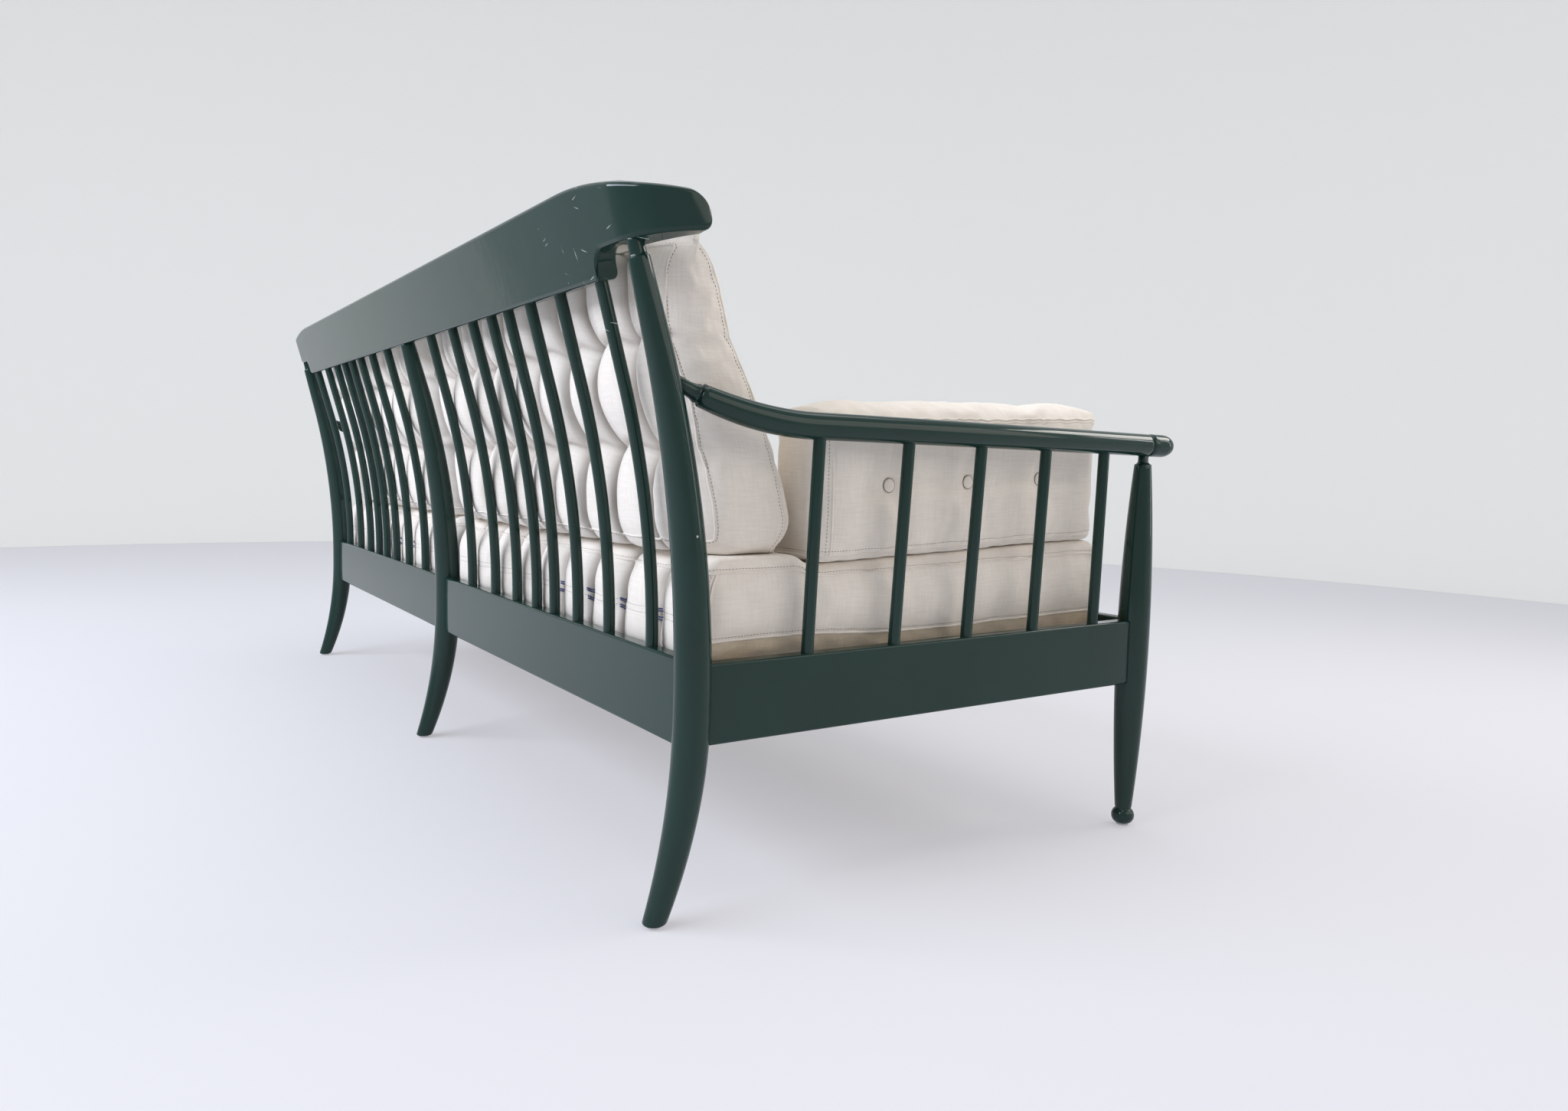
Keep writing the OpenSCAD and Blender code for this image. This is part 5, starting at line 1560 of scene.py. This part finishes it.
@dataclass
class SeatCushion(Cushion):
    """The thick seat cushion, tufted along its back boxing and crowned where one sits."""

    kind: str = "seat"
    low: tuple[float, float, float] = SEAT_LOW
    size: tuple[float, float, float] = (953.6, 719.1, SEAT_T)
    fill: float = 0.8
    seams_at: tuple[float, float] = (27.0, 108.0)
    corner_seam: float = 20.0
    reach: tuple[float, float] = (8.6, 733)
    end: float = 954
    tuft_h: float = 50
    # How far its form departs from the plain box, in millimetres
    crown: float = 17
    foot_edge: float = 13
    hang: float = 13
    cleft: float = 8
    leg_hollow: float = 13
    pinch: float = 7
    front_roll: float = 7
    side_bulge: float = 8
    wander: float = 3.5

    def lines(self, axis: int) -> Points:
        """Places of the cover's lines along one axis, closest at the creases."""
        if axis == 0:
            return tufted_lines(self.size[0], self.edge, (0, 2, 6, 13, 23, 37, 52.75))
        if axis == 1:
            return cover_lines(self.size[1], self.edge, pitch=12, through=(self.corner_seam,))
        return cover_lines(self.size[2], self.edge, pitch=8, through=self.seams_at)

    def droop(self, x: Points, d: Points) -> Points:
        """How far the outer edge hangs down past the last strap."""
        return self.hang * soft_step((x - 845) / 100) * soft_step((d - 120) / 240)

    def shape(self, box: Points) -> Points:
        """Lays the box on the webbing, with crown, creases and the dent under the arm cushion."""
        x, d0, h = box.T
        t = np.abs(2 * h / SEAT_T - 1)
        open_ = 1 - t**2
        from_end = np.minimum(x, self.end - x)
        nearest = np.round((x - EASE) / TUFT_PITCH)
        off = from_crease(x, EASE) / (TUFT_PITCH / 2)
        rear = soft_step(1 - (d0 - 10.4) / 70)
        upper = soft_step((h - 30) / 60)
        cleft = self.cleft * np.exp(-off * TUFT_PITCH / 5)
        deep = ((5 + 10 * upper + 15 * open_) * crease(off) + cleft) * ramp(from_end / 60)
        round_back = (4 + 24 * upper) * t**2.2
        side = ramp((x - 930) / 24)
        beside_leg = self.leg_hollow * np.sqrt(ramp((36 - x) / 36)) * (370 - d0) / 360
        # The foot of the front edge fills the corner behind the front rail
        foot = self.foot_edge * ramp((d0 - 690) / 24.5) * ramp(1 - h / self.edge)
        d = d0 + (deep * rear + round_back) * rear - 4 * open_ * ramp((d0 - 700) / 30) + beside_leg + foot
        in_front = soft_step((d - 190) / 130) * soft_step((729.5 - d) / 100)
        beside_arm = soft_step((845 - x) / 100) * soft_step(x / 90)
        under_arm = ramp((x - 817) / 26)
        top = ramp((h - 70) / 57)
        z = SIZES.web_z(d) + FOOT + h + top * (self.crown * in_front * beside_arm - sink(d) * under_arm)
        # The creases pull the boxing's upper and lower seams together, and the front edge rolls over
        way = np.where(h > SEAT_T / 2, 1, -0.3)
        z = z - self.pinch * crease(off) * rear * ramp(from_end / 60) * way * t**2
        z = z - top * self.front_roll * ramp((d0 - 686) / 44) ** 2 - self.droop(x, d) * (1 - h / SEAT_T)
        wander = self.wander * np.sin(nearest * 2.4) * (1 - ramp(off)) * rear * open_
        out = self.side_bulge * open_ * side * soft_step((d0 - 60) / 200) * soft_step((729 - d0) / 120)
        return np.stack([x - 3.5 * side + out + wander, SIZES.rear_y - d, z], -1)

    def held(self, box: Points) -> Points:
        """Holds the foot, the tufts and what lies under the other cushions."""
        x, d, h = box.T
        off = from_crease(x, EASE)
        fold = (d < 14) * (off < 1) * 0.9
        under = ((h > SEAT_T - 2) * ((d < 185) + (x > 840))) > 0
        return np.maximum.reduce([fold, under * 0.9, (h < 1) * 0.9, np.full(len(x), 0.06)])

    def painted_crease_shade(self, box: Points) -> Points:
        """How much painted crease shade each point gets: how deep in one of the back boxing's creases it
        lies, from 0 to 1.
        """
        x, d, _ = box.T
        off = from_crease(x, EASE)
        return np.exp(-((off / 4) ** 1.2)) * (d < 24) * ramp(np.minimum(x, self.end - x) / 60) * 0.85

    def room(self, points: Points) -> Points:
        """Keeps the cushion off the webbing, the spindles, the rails and its twin."""
        x, y, z = points.T
        d = SIZES.rear_y - y
        z = np.maximum(z, SIZES.web_z(d) + 1.3 - self.droop(x, d))
        d = np.clip(d, *self.reach)
        z = np.where((d < 182) | (x > 852), np.minimum(z, seat_top(d) - np.where(x > 846, sink(d), 0)), z)
        return np.stack([np.clip(x, 0.3, SIZES.rail_x(d) - SIZES.rail_t / 2 - 2), SIZES.rear_y - d, z], -1)

    def seam_lines(self) -> list[Seam]:
        """Seams round the boxing, and up its two back corners."""
        low, high = (self.at(2, h) for h in self.seams_at)
        j = self.at(1, self.low[1] + self.corner_seam)
        end = self.number[:, -1, low]
        strip = np.concatenate([self.number[0, j:-1, low], end, self.number[-1, j:-1, low][::-1]])
        made = [Seam(strip, [(0, 0, 5)]), Seam(self.hoop(2, high), [(0, 0, 5)])]
        for i in (0, -1):
            made.append(Seam(self.number[i, j, low : high + 1], [(0, 6, 0)]))
        mid = self.at(2, self.tuft_h)
        made.append(Seam(self.number[:, 0, mid], [(0, 0, 4), (0, 0, -4)], welt=False))
        return made

    def base_cloth(self, box: Points, quads: Points) -> Points:
        """The bottom panel, and the strip of boxing under the lower seam, apart from the back boxing."""
        _, d, h = box[quads].mean(1).T
        return (h < 1) | ((h < self.seams_at[0]) & (d > SEAT_LOW[1] + self.corner_seam))

    def tie_tufts(self) -> None:
        """Adds the blue twine that ties the tufts of the back boxing."""
        lines, ways = [], []
        for k in range(1, TUFTS + 1):
            x = self.side.value * (EASE + TUFT_PITCH * k)
            for step in (-7, -4, 4, 7):
                z = SIZES.web_z(20) + FOOT + self.tuft_h + step
                row = np.array([[x + dx, SIZES.rear_y - 12, z] for dx in (-4.5, -3, -1.5, 0, 1.5, 3, 4.5)])
                places, away = self.on_skin(row, lift=0.7)
                chord = places[0] + (places[-1] - places[0]) * np.linspace(0, 1, len(row))[:, None]
                lines.append(places * 0.45 + chord * 0.55)
                ways.append(away)
        twine = rod_pattern("tuft twine", radius=1.0, sides=6, finish=TUFT_THREAD)
        hand_over(twine.grow(f"tuft_twine_{self.side.word}", guide_mesh(lines, ways)), self.body, "linen")


@dataclass
class BackCushion(Cushion):
    """The back cushion: thick at its foot, pleated behind between two rows of tufts, buttoned in front."""

    kind: str = "back"
    low: tuple[float, float, float] = (BACK_X[0], BACK_GAP, 0.0)
    size: tuple[float, float, float] = (BACK_X[1] - BACK_X[0], 130.0, 384.0)
    rows: tuple[float, float] = (1 / 3, 2 / 3)
    span: tuple[float, float] = (2.0, 936)
    arm_gap: float = 1.5
    reach_back: float = -50.9
    foot_t: float = 174
    top_t: float = 88
    # Half the height of a row of pillows, which the places between rows of tufts are measured in
    half_row: float = 64
    # How far its form departs from the plain wedge, in millimetres
    pleat: float = 27
    cleft: float = 10
    tuft: float = 18
    end_turn: float = 58
    dimple: float = 11
    rise: float = 7
    wander: float = 10
    arch: float = 10

    def lines(self, axis: int) -> Points:
        """Places of the cover's lines along one axis, closest at the creases and tufts."""
        if axis == 0:
            return tufted_lines(self.size[0], self.edge, (0, 2, 5.5, 11, 19, 29, 41, 52.75))
        if axis == 1:
            return cover_lines(self.size[1], self.edge, pitch=10)
        return cover_lines(self.size[2], self.edge, pitch=8, through=(128, 256))

    def contact(self, z: Points) -> Points:
        """Distance of the spindles' fronts at height z."""
        return np.maximum(BACK_GAP - SIZES.spindle_y(z), self.reach_back)

    def height(self, d: Points, v: Points) -> Points:
        """Height of a share v up the cushion at distance d."""
        low = seat_top(d) + EASE
        return low + (BACK_TOP_Z - low) * v

    def from_end(self, x: Points) -> Points:
        """Distance from the cushion's nearer end."""
        return np.minimum(x - BACK_X[0], BACK_X[1] - x)

    def cells(self, x: Points, v: Points) -> tuple[Points, Points]:
        """Nearness to a column and to a row of tufts, each from 0 on it to 1 midway."""
        up = np.minimum(*(np.abs(v - row) for row in self.rows)) * 6
        return from_crease(x, BACK_X[0]) / (TUFT_PITCH / 2), up

    def rear(self, x: Points, v: Points) -> Points:
        """Distance of the rear face, with its pleats and tufts."""
        z = self.height(BACK_GAP, v)
        from_end = np.minimum((x - BACK_X[0]) / 90, (BACK_X[1] - x) / 130)
        away = self.end_turn * ramp(1 - from_end) ** 2
        edge = 12 * ramp((0.12 - v) / 0.1) ** 2 + 16 * ramp((v - 0.88) / 0.1) ** 2
        across, up = self.cells(x, v)
        at_row = np.exp(-((up / 0.4) ** 2))
        # The creases open where they meet a row of tufts, so each pillow has round corners
        across = across * (1 - 0.45 * np.exp(-((up / 0.5) ** 2)))
        inside = (0.35 + 0.65 * np.sin(np.pi * ramp(v)) ** 0.5) * ramp(from_end * 1.5)
        cleft = self.cleft * np.exp(-across * TUFT_PITCH / 5)
        fold = ((self.pleat + 8 * at_row) * crease(across) + cleft) * inside
        tuft = (5 * (1 - ramp(up)) ** 2 + self.tuft * crease(up * 0.75)) * (1 - 0.45 * crease(across))
        return self.contact(z) + edge + np.maximum(away, fold + tuft * ramp(from_end * 1.5))

    def front(self, x: Points, v: Points) -> Points:
        """Distance of the front face, with a dimple at each button."""
        z = self.height(self.foot_t, v)
        thick = self.foot_t + (self.top_t - self.foot_t) * ramp(v) ** 1.7
        from_end = self.from_end(x) / 70
        away = 12 * ramp(1 - from_end) ** 2
        edge = 24 * ramp((0.12 - v) / 0.1) ** 2 + 18 * ramp((v - 0.88) / 0.09) ** 2
        across, up = self.cells(x, v)
        flat = np.hypot(np.maximum(0, across * TUFT_PITCH / 2 - 8), np.maximum(0, up * self.half_row - 8))
        column = 5 * crease(across * 1.3) * ramp((1 - up) / 0.7)
        dimple = self.dimple * np.exp(-((flat / 20) ** 1.3)) + column
        valley = 2.5 * (1 - ramp(up)) ** 2
        return self.contact(z) + thick - edge - away - np.maximum(dimple, valley) * ramp(from_end * 1.5)

    def shape(self, box: Points) -> Points:
        """Leans the box on the spindles and gives its faces their form."""
        x, d0, h = box.T
        u, v = (d0 - self.low[1]) / self.size[1], h / self.size[2]
        d = self.rear(x, v) * (1 - u) + self.front(x, v) * u
        rise = self.rise * ramp(self.from_end(x) / 60) * ramp((v - 0.8) / 0.2)
        middle = np.sin(np.pi * u)
        bulge = 5 * middle * ramp((v - 0.97) / 0.03)
        across, up = self.cells(x, v)
        # The creases wander a little between their tufts, each its own way
        nearest = np.round((x - BACK_X[0]) / TUFT_PITCH)
        own = np.sin(nearest * 4.1 + np.floor(v * 3 + 1e-6) * 2.3 + self.seed)
        wander = self.wander * own * np.sin(3 * np.pi * v) * (1 - ramp(across)) * (1 - u) ** 2
        end = ramp(1 - self.from_end(x) / 20)
        side = np.where(x > 400, 1, -1)
        x = x - side * 5 * end * (1 - np.sin(np.pi * ramp(v)) * middle) + wander
        # Each pillow's top and foot arch up between its two creases
        arch = self.arch * np.sin(np.pi * ramp(across) / 2) ** 2 * np.exp(-((up / 0.6) ** 2)) * (1 - u) ** 2
        scallop = arch + 5 * crease(across) * (1 - u) ** 2 * (ramp((0.1 - v) / 0.1) - ramp((v - 0.9) / 0.1))
        return np.stack([x, SIZES.rear_y - d, self.height(d, v) + rise * middle + bulge + scallop], -1)

    def held(self, box: Points) -> Points:
        """Holds the tufts, the creases, the buttons and the foot."""
        x, d, h = box.T
        v = h / self.size[2]
        across, up = self.cells(x, v)
        rear, front = d < self.low[1] + 2, d > self.low[1] + self.size[1] - 2
        inside = (x > 40) & (x < 900)
        fold = rear & (across * TUFT_PITCH / 2 < 1) & inside
        tuft = front & (across * TUFT_PITCH / 2 < 9) & (up * self.half_row < 9) & inside
        return np.maximum.reduce([tuft * 1.0, fold * 0.9, (h < 1) * 0.9, np.full(len(x), 0.05)])

    def seam_lines(self) -> list[Seam]:
        """Seams round the rear and the front panel; the rear one is laid behind its corners."""
        rear = self.hoop(1, 1)
        front = self.hoop(1, len(self.axes[1]) - 2)
        above = self.points[rear, 2] - self.points[rear, 2].min()
        # It slants forwards down to the foot, and turns back round the lower corner
        slant = 12 + 34 * ramp(above / 300) + 34 * ramp(1 - above / 60) ** 3
        return [Seam(rear, [(0, -5, 0)], pull=slant), Seam(front, [(0, 6, 0)])]

    def painted_crease_shade(self, box: Points) -> Points:
        """How much painted crease shade each point gets: how deep in one of the rear face's creases it lies,
        from 0 to 1.
        """
        x, d, h = box.T
        across, up = self.cells(x, h / self.size[2])
        column = np.exp(-((across * TUFT_PITCH / 2 / 6) ** 1.2))
        row = 0.6 * np.exp(-((up * self.half_row / 5) ** 1.2))
        return np.maximum(column, row) * (d < self.low[1] + 12) * ramp(self.from_end(x) / 40) * 0.85

    def room(self, points: Points) -> Points:
        """Keeps the cushion off the spindles, the seat cushion and the arm cushion."""
        x, y, z = points.T
        d = np.maximum(SIZES.rear_y - y, self.contact(z))
        d = np.where(x > ARM_INSIDE_X, np.minimum(d, ARM_D[0] - self.arm_gap), d)
        z = np.maximum(z, seat_top(d) + 0.3)
        return np.stack([np.clip(x, *self.span), SIZES.rear_y - d, z], -1)

    def button_up(self) -> None:
        """Adds the buttons of the front face."""
        places, ways = [], []
        for k in range(1, TUFTS + 1):
            for v in self.rows:
                x = BACK_X[0] + TUFT_PITCH * k
                d = float(self.front(np.array([x]), np.array([v]))[0])
                z = float(self.height(d, v))
                at, away = self.on_skin(np.array([[self.side.value * x, SIZES.rear_y - d, z]]), BUTTON_LIFT)
                places.append(at)
                ways.append(away)
        self.fasten(places, ways)


@dataclass
class ArmCushion(Cushion):
    """The arm cushion: a bolster that stands on the seat cushion, buttoned on both faces."""

    kind: str = "arm"
    low: tuple[float, float, float] = (-ARM_FACES, ARM_D[0], 0.0)
    size: tuple[float, float, float] = (2 * ARM_FACES, ARM_D[1] - ARM_D[0], 192.0)
    pitch: float = 8.0
    span: tuple[float, float] = (ARM_INSIDE_X, 963.5)
    buttons: tuple[float, ...] = (298.75, 441.75, 584.75)
    button_h: float = 96
    corner_seam: float = 23.0
    # How far its form departs from the plain box, in millimetres
    dimple: float = 9.5
    fold: float = 6.5
    sag: float = 3.2
    belly: float = 2.5
    bulge: float = 4
    nose_turn: float = 26
    heel_turn: float = 10
    ruffle: float = 2.0
    crown: float = 12
    pucker: float = 0.9
    bow: float = 4.0

    def lines(self, axis: int) -> Points:
        """Places of the cover's lines along one axis."""
        if axis == 1:
            through = (self.corner_seam, *(b - ARM_D[0] for b in self.buttons))
            return cover_lines(self.size[1], self.edge, self.pitch, through)
        return cover_lines(self.size[axis], self.edge, self.pitch)

    def shape(self, box: Points) -> Points:
        """Stands the box on the seat, with dimples and a soft fold through the buttons."""
        x0, d, h = box.T
        t = np.clip((h - self.button_h) / 81, -1, 1)
        centred = np.abs(x0) / ARM_FACES
        end = ramp(np.minimum(d - ARM_D[0], ARM_D[1] - d) / 60)
        out = np.sign(x0) * ramp((np.abs(x0) - 20) / 36)
        beside = np.maximum(0, np.abs(h - self.button_h) - 7)
        near = np.min([np.hypot(np.maximum(0, np.abs(d - b) - 7), beside) for b in self.buttons], 0)
        dimple = self.dimple * np.exp(-((near / 20) ** 1.3))
        span = soft_step((d - 215) / 60) * soft_step((690 - d) / 60)
        fold = self.fold * np.exp(-(((h - 92) / 14) ** 2)) * span
        # Below the buttons the filling has sunk into soft upright folds
        upright = np.sin((d - 205) * 2 * np.pi / 71.5 + 0.5 * np.sin(d / 40))
        sag = self.sag * upright * np.exp(-(((h - 48) / 30) ** 2)) * span
        belly = self.belly * np.exp(-(((h - 42) / 30) ** 2)) * end
        face = self.bulge * (1 - t**2) * end + belly + sag - np.maximum(dimple, fold)
        turn = self.nose_turn * (1 - np.sqrt(1 - ramp((d - (ARM_D[1] - 46)) / 46) ** 2 * 0.98)) * centred
        turn += self.heel_turn * ramp((ARM_D[0] + 26 - d) / 26) ** 2 * centred
        ruffle = self.ruffle * np.sin(d / 5.4 + 2 * np.sin(d / 31)) * np.exp(-((h / 13) ** 2))
        top = ramp((h - 120) / 72)
        crown = self.crown * (1 - (x0 / ARM_FACES) ** 2) * (0.4 + 0.6 * end) * top
        pucker = self.pucker * np.sin(d / 4.3 + 2 * np.sin(d / 23)) * np.exp(-(((h - 184) / 12) ** 2))
        bow = self.bow * (1 - t**2) * (1 - (x0 / ARM_FACES) ** 2)
        d = d + bow * (ramp((20 - (d - ARM_D[0])) / 20) - ramp((20 - (ARM_D[1] - d)) / 20))
        z = seat_top(d) - sink(d) + EASE + h + crown + pucker
        x = ARM_MID_X + x0 + out * (face + ruffle) - np.sign(x0) * turn
        return np.stack([x, SIZES.rear_y - d, z], -1)

    def held(self, box: Points) -> Points:
        """Holds the buttons and the foot."""
        x, d, h = box.T
        near = np.min([np.hypot(d - b, h - self.button_h) for b in self.buttons], 0)
        sewn = (np.abs(x) > ARM_FACES - 2) & (near < 10)
        return np.maximum.reduce([sewn * 1.0, (h < 1) * 0.9, np.full(len(x), 0.05)])

    def seam_lines(self) -> list[Seam]:
        """Seams round the top and the foot, and up both faces near the back end."""
        last = len(self.axes[2]) - 2
        made = [Seam(self.hoop(2, 1), [(0, 0, 6)]), Seam(self.hoop(2, last), [(0, 0, -6)])]
        j = self.at(1, ARM_D[0] + self.corner_seam)
        for i in (0, -1):
            made.append(Seam(self.number[i, j, 1 : last + 1], [(0, 7, 0)]))
        return made

    def room(self, points: Points) -> Points:
        """Keeps the cushion off the seat cushion, the back cushion and the armrest."""
        x, y, z = points.T
        d = np.clip(SIZES.rear_y - y, ARM_D[0], ARM_D[1] + 1)
        z = np.maximum(z, seat_top(d) - sink(d) + 0.35)
        return np.stack([np.clip(x, *self.span), SIZES.rear_y - d, z], -1)

    def button_up(self) -> None:
        """Adds the buttons of both faces."""
        places, ways = [], []
        for b in self.buttons:
            for face in (-1, 1):
                z = float(seat_top(b) - sink(b)) + (self.button_h + EASE)
                start = np.array([[self.side.value * (ARM_MID_X + face * 50), SIZES.rear_y - b, z]])
                at, _ = self.on_skin(start, lift=0)
                away = np.array([[self.side.value * face, 0.0, 0.0]])
                places.append(at + away * BUTTON_LIFT)
                ways.append(away)
        self.fasten(places, ways)


def map_cloth(obj: Any) -> None:
    """Gives a small piece of cloth a map in metres, laid on from its own place."""
    loops = np.empty(len(obj.data.loops), np.int32)
    obj.data.loops.foreach_get("vertex_index", loops)
    at = places_of(obj.data)[loops]
    cloth = obj.data.uv_layers.new(name="cloth")
    flat = np.stack([at[:, 0] + at[:, 1], at[:, 2]], -1)
    cloth.data.foreach_set("uv", flat.astype(np.float32).ravel())


def make_cushions() -> None:
    """Builds, blows up and sews the six cushions."""
    kinds = (SeatCushion, BackCushion, ArmCushion)
    made: list[Cushion] = []
    for side in Side:
        made += [kind(side, seed=40 + 7 * side.value + k) for k, kind in enumerate(kinds)]
    for cushion in made:
        cushion.build()
    for cushion in made:
        cushion.blow_up()
    scene = bpy.context.scene
    for step in range(1, FRAMES + 1):
        scene.frame_set(step)
    for cushion in made:
        cushion.settle()
        cushion.sew()
        if isinstance(cushion, SeatCushion):
            cushion.tie_tufts()
        else:
            cushion.button_up()


# Floor, lamps and camera


@dataclass
class Studio:
    """The plain pale floor and backdrop, the soft lamps and the camera at the photograph's angle."""

    eye: tuple[float, float, float] = (-2009.23, 930.3, 531.99)
    yaw: float = math.radians(-34.32)
    pitch: float = math.radians(4.69)
    roll: float = math.radians(1.73)
    sensor: float = 36
    lens: float = 1352.65 / 2048 * sensor

    def seen(self, tree: bpy.types.NodeTree) -> Any:
        """A node that gives one where the camera, a gloss or glass looks at the background."""
        ray = add_node(tree, "ShaderNodeLightPath")
        shown = ray.outputs["Is Camera Ray"]
        for kind in ("Is Glossy Ray", "Is Transmission Ray"):
            shown = add_node(tree, "ShaderNodeMath", {0: shown, 1: ray.outputs[kind]}, operation="MAXIMUM")
        return shown

    def ground(self, name: str, colour: str, lift: float) -> bpy.types.Material:
        """A matt material that stays pale to the camera and in reflections.

        Args:
            name: the material's name.
            colour: its colour.
            lift: share of its own colour shown as light to the camera.

        Returns:
            The material.
        """
        material = bpy.data.materials.new(name)
        tree = empty_tree(material)
        matt = add_node(tree, "ShaderNodeBsdfDiffuse", {"Color": srgb(colour)})
        glow = add_node(tree, "ShaderNodeEmission", {"Color": srgb(colour), "Strength": 1.0})
        share = add_node(tree, "ShaderNodeMath", {0: self.seen(tree), 1: lift}, operation="MULTIPLY")
        both = add_node(tree, "ShaderNodeMixShader", {0: share, 1: matt, 2: glow})
        add_node(tree, "ShaderNodeOutputMaterial", {"Surface": both})
        return material

    def floor(self) -> None:
        """Adds the floor, which curves up into a backdrop behind the sofa."""
        lift, half, z = 0.5, 12, -0.001
        paints = [
            self.ground("matt pale floor paint", "#e3e3e8", lift),
            self.ground("matt pale wall paint", "#f0f1f0", lift),
        ]
        flat = bpy.data.meshes.new("floor")
        corners = [(-half, -half, z), (half, -half, z), (half, half, z), (-half, half, z)]
        flat.from_pydata(corners, [], [(0, 1, 2, 3)])
        turn = np.radians(np.linspace(-165, 27, 40))
        bend = np.radians(np.linspace(0, 90, 12))
        near, top = 5.0, 6.0
        profile = [(near + math.sin(b), 1 - math.cos(b)) for b in bend] + [(near + 1, top)]
        rows = np.array([[(r * math.cos(a), r * math.sin(a), z) for r, z in profile] for a in turn])
        n, m, _ = rows.shape
        quads = grid_quads(np.arange(n * m).reshape(n, m))
        wall = bpy.data.meshes.new("backdrop")
        wall.from_pydata(rows.reshape(-1, 3).tolist(), [], quads.tolist())
        wall.polygons.foreach_set("use_smooth", [True] * len(wall.polygons))
        for mesh, paint in zip((flat, wall), paints):
            mesh.materials.append(paint)
            linked(mesh.name, mesh)

    def lamp(self, name: str, at: tuple, to: tuple, size: tuple, watts: float, colour: str) -> None:
        """Adds one soft rectangular lamp.

        Args:
            name: the lamp's name.
            at: where it stands, in metres.
            to: what it points at.
            size: its width and height.
            watts: its strength.
            colour: the tint of its light.
        """
        data = bpy.data.lights.new(name, "AREA")
        data.shape = "RECTANGLE"
        data.size, data.size_y = size
        data.energy = watts
        data.color = srgb(colour)[:3]
        obj = linked(name, data)
        obj.location = at
        obj.rotation_euler = (Vector(to) - Vector(at)).to_track_quat("-Z", "Y").to_euler()

    def lamps(self) -> None:
        """Adds the lamps and the even light of the room."""
        for name, at, to, size, watts, colour in (
            ("rear_window", (0.5, 3.6, 2.6), (0.0, 0.3, 0.5), (4.2, 1.7), 185, "#e9f0ff"),
            ("left_window", (-4.4, -1.5, 2.6), (-0.9, -0.1, 0.4), (4.4, 2.6), 47, "#fff4ea"),
            ("front_window", (-1.5, -2.7, 2.4), (-0.9, -0.2, 0.5), (1.1, 0.9), 22, "#fffaf4"),
            ("side_strip", (-2.6, -3.2, 1.4), (-0.9, 0.3, 0.6), (0.16, 1.9), 7, "#ffffff"),
            ("ceiling", (-0.4, -0.2, 3.6), (0, 0, 0.3), (3.4, 2.4), 38, "#ffffff"),
        ):
            self.lamp(name, at, to, size, watts, colour)
        world = bpy.data.worlds.new("pale room")
        tree = empty_tree(world)
        light = add_node(tree, "ShaderNodeBackground", {"Color": srgb("#eceef2"), "Strength": 0.42})
        shown = add_node(tree, "ShaderNodeBackground", {"Color": srgb("#c2c6cb"), "Strength": 1.0})
        sky = add_node(tree, "ShaderNodeMixShader", {0: self.seen(tree), 1: light, 2: shown})
        add_node(tree, "ShaderNodeOutputWorld", {"Surface": sky})
        bpy.context.scene.world = world

    def camera(self) -> None:
        """Sets up the camera as the photograph was taken."""
        y, p, r = self.yaw, self.pitch, self.roll
        ahead = Vector((math.cos(p) * math.cos(y), math.cos(p) * math.sin(y), -math.sin(p)))
        flat = Vector((math.sin(y), -math.cos(y), 0))
        rise = flat.cross(ahead)
        right = flat * math.cos(r) + rise * math.sin(r)
        up = rise * math.cos(r) - flat * math.sin(r)
        data = bpy.data.cameras.new("camera")
        data.sensor_fit = "HORIZONTAL"
        data.sensor_width = self.sensor
        data.lens = self.lens
        data.clip_start = 0.05
        obj = linked("camera", data)
        turn = Matrix((right, up, -ahead)).transposed().to_4x4()
        obj.matrix_world = Matrix.Translation(Vector(self.eye) * MM) @ turn
        bpy.context.scene.camera = obj

    def build(self) -> None:
        """Sets up the whole studio."""
        self.floor()
        self.lamps()
        self.camera()
        bpy.context.scene.view_settings.view_transform = "Standard"


def main() -> None:
    """Builds the sofa round its solids."""
    logging.basicConfig(level=logging.INFO, format="%(name)s: %(message)s")
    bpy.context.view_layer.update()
    steps: list[Callable[[], None]] = [
        TurnedLegs().build,
        Rails().build,
        CrestRail().build,
        Armrests().build,
        Spindles().build,
        dress_seat_base,
        make_cushions,
        Studio().build,
    ]
    for step in steps:
        step()
    bpy.context.scene.frame_set(1)


if __name__ == "__main__":
    main()
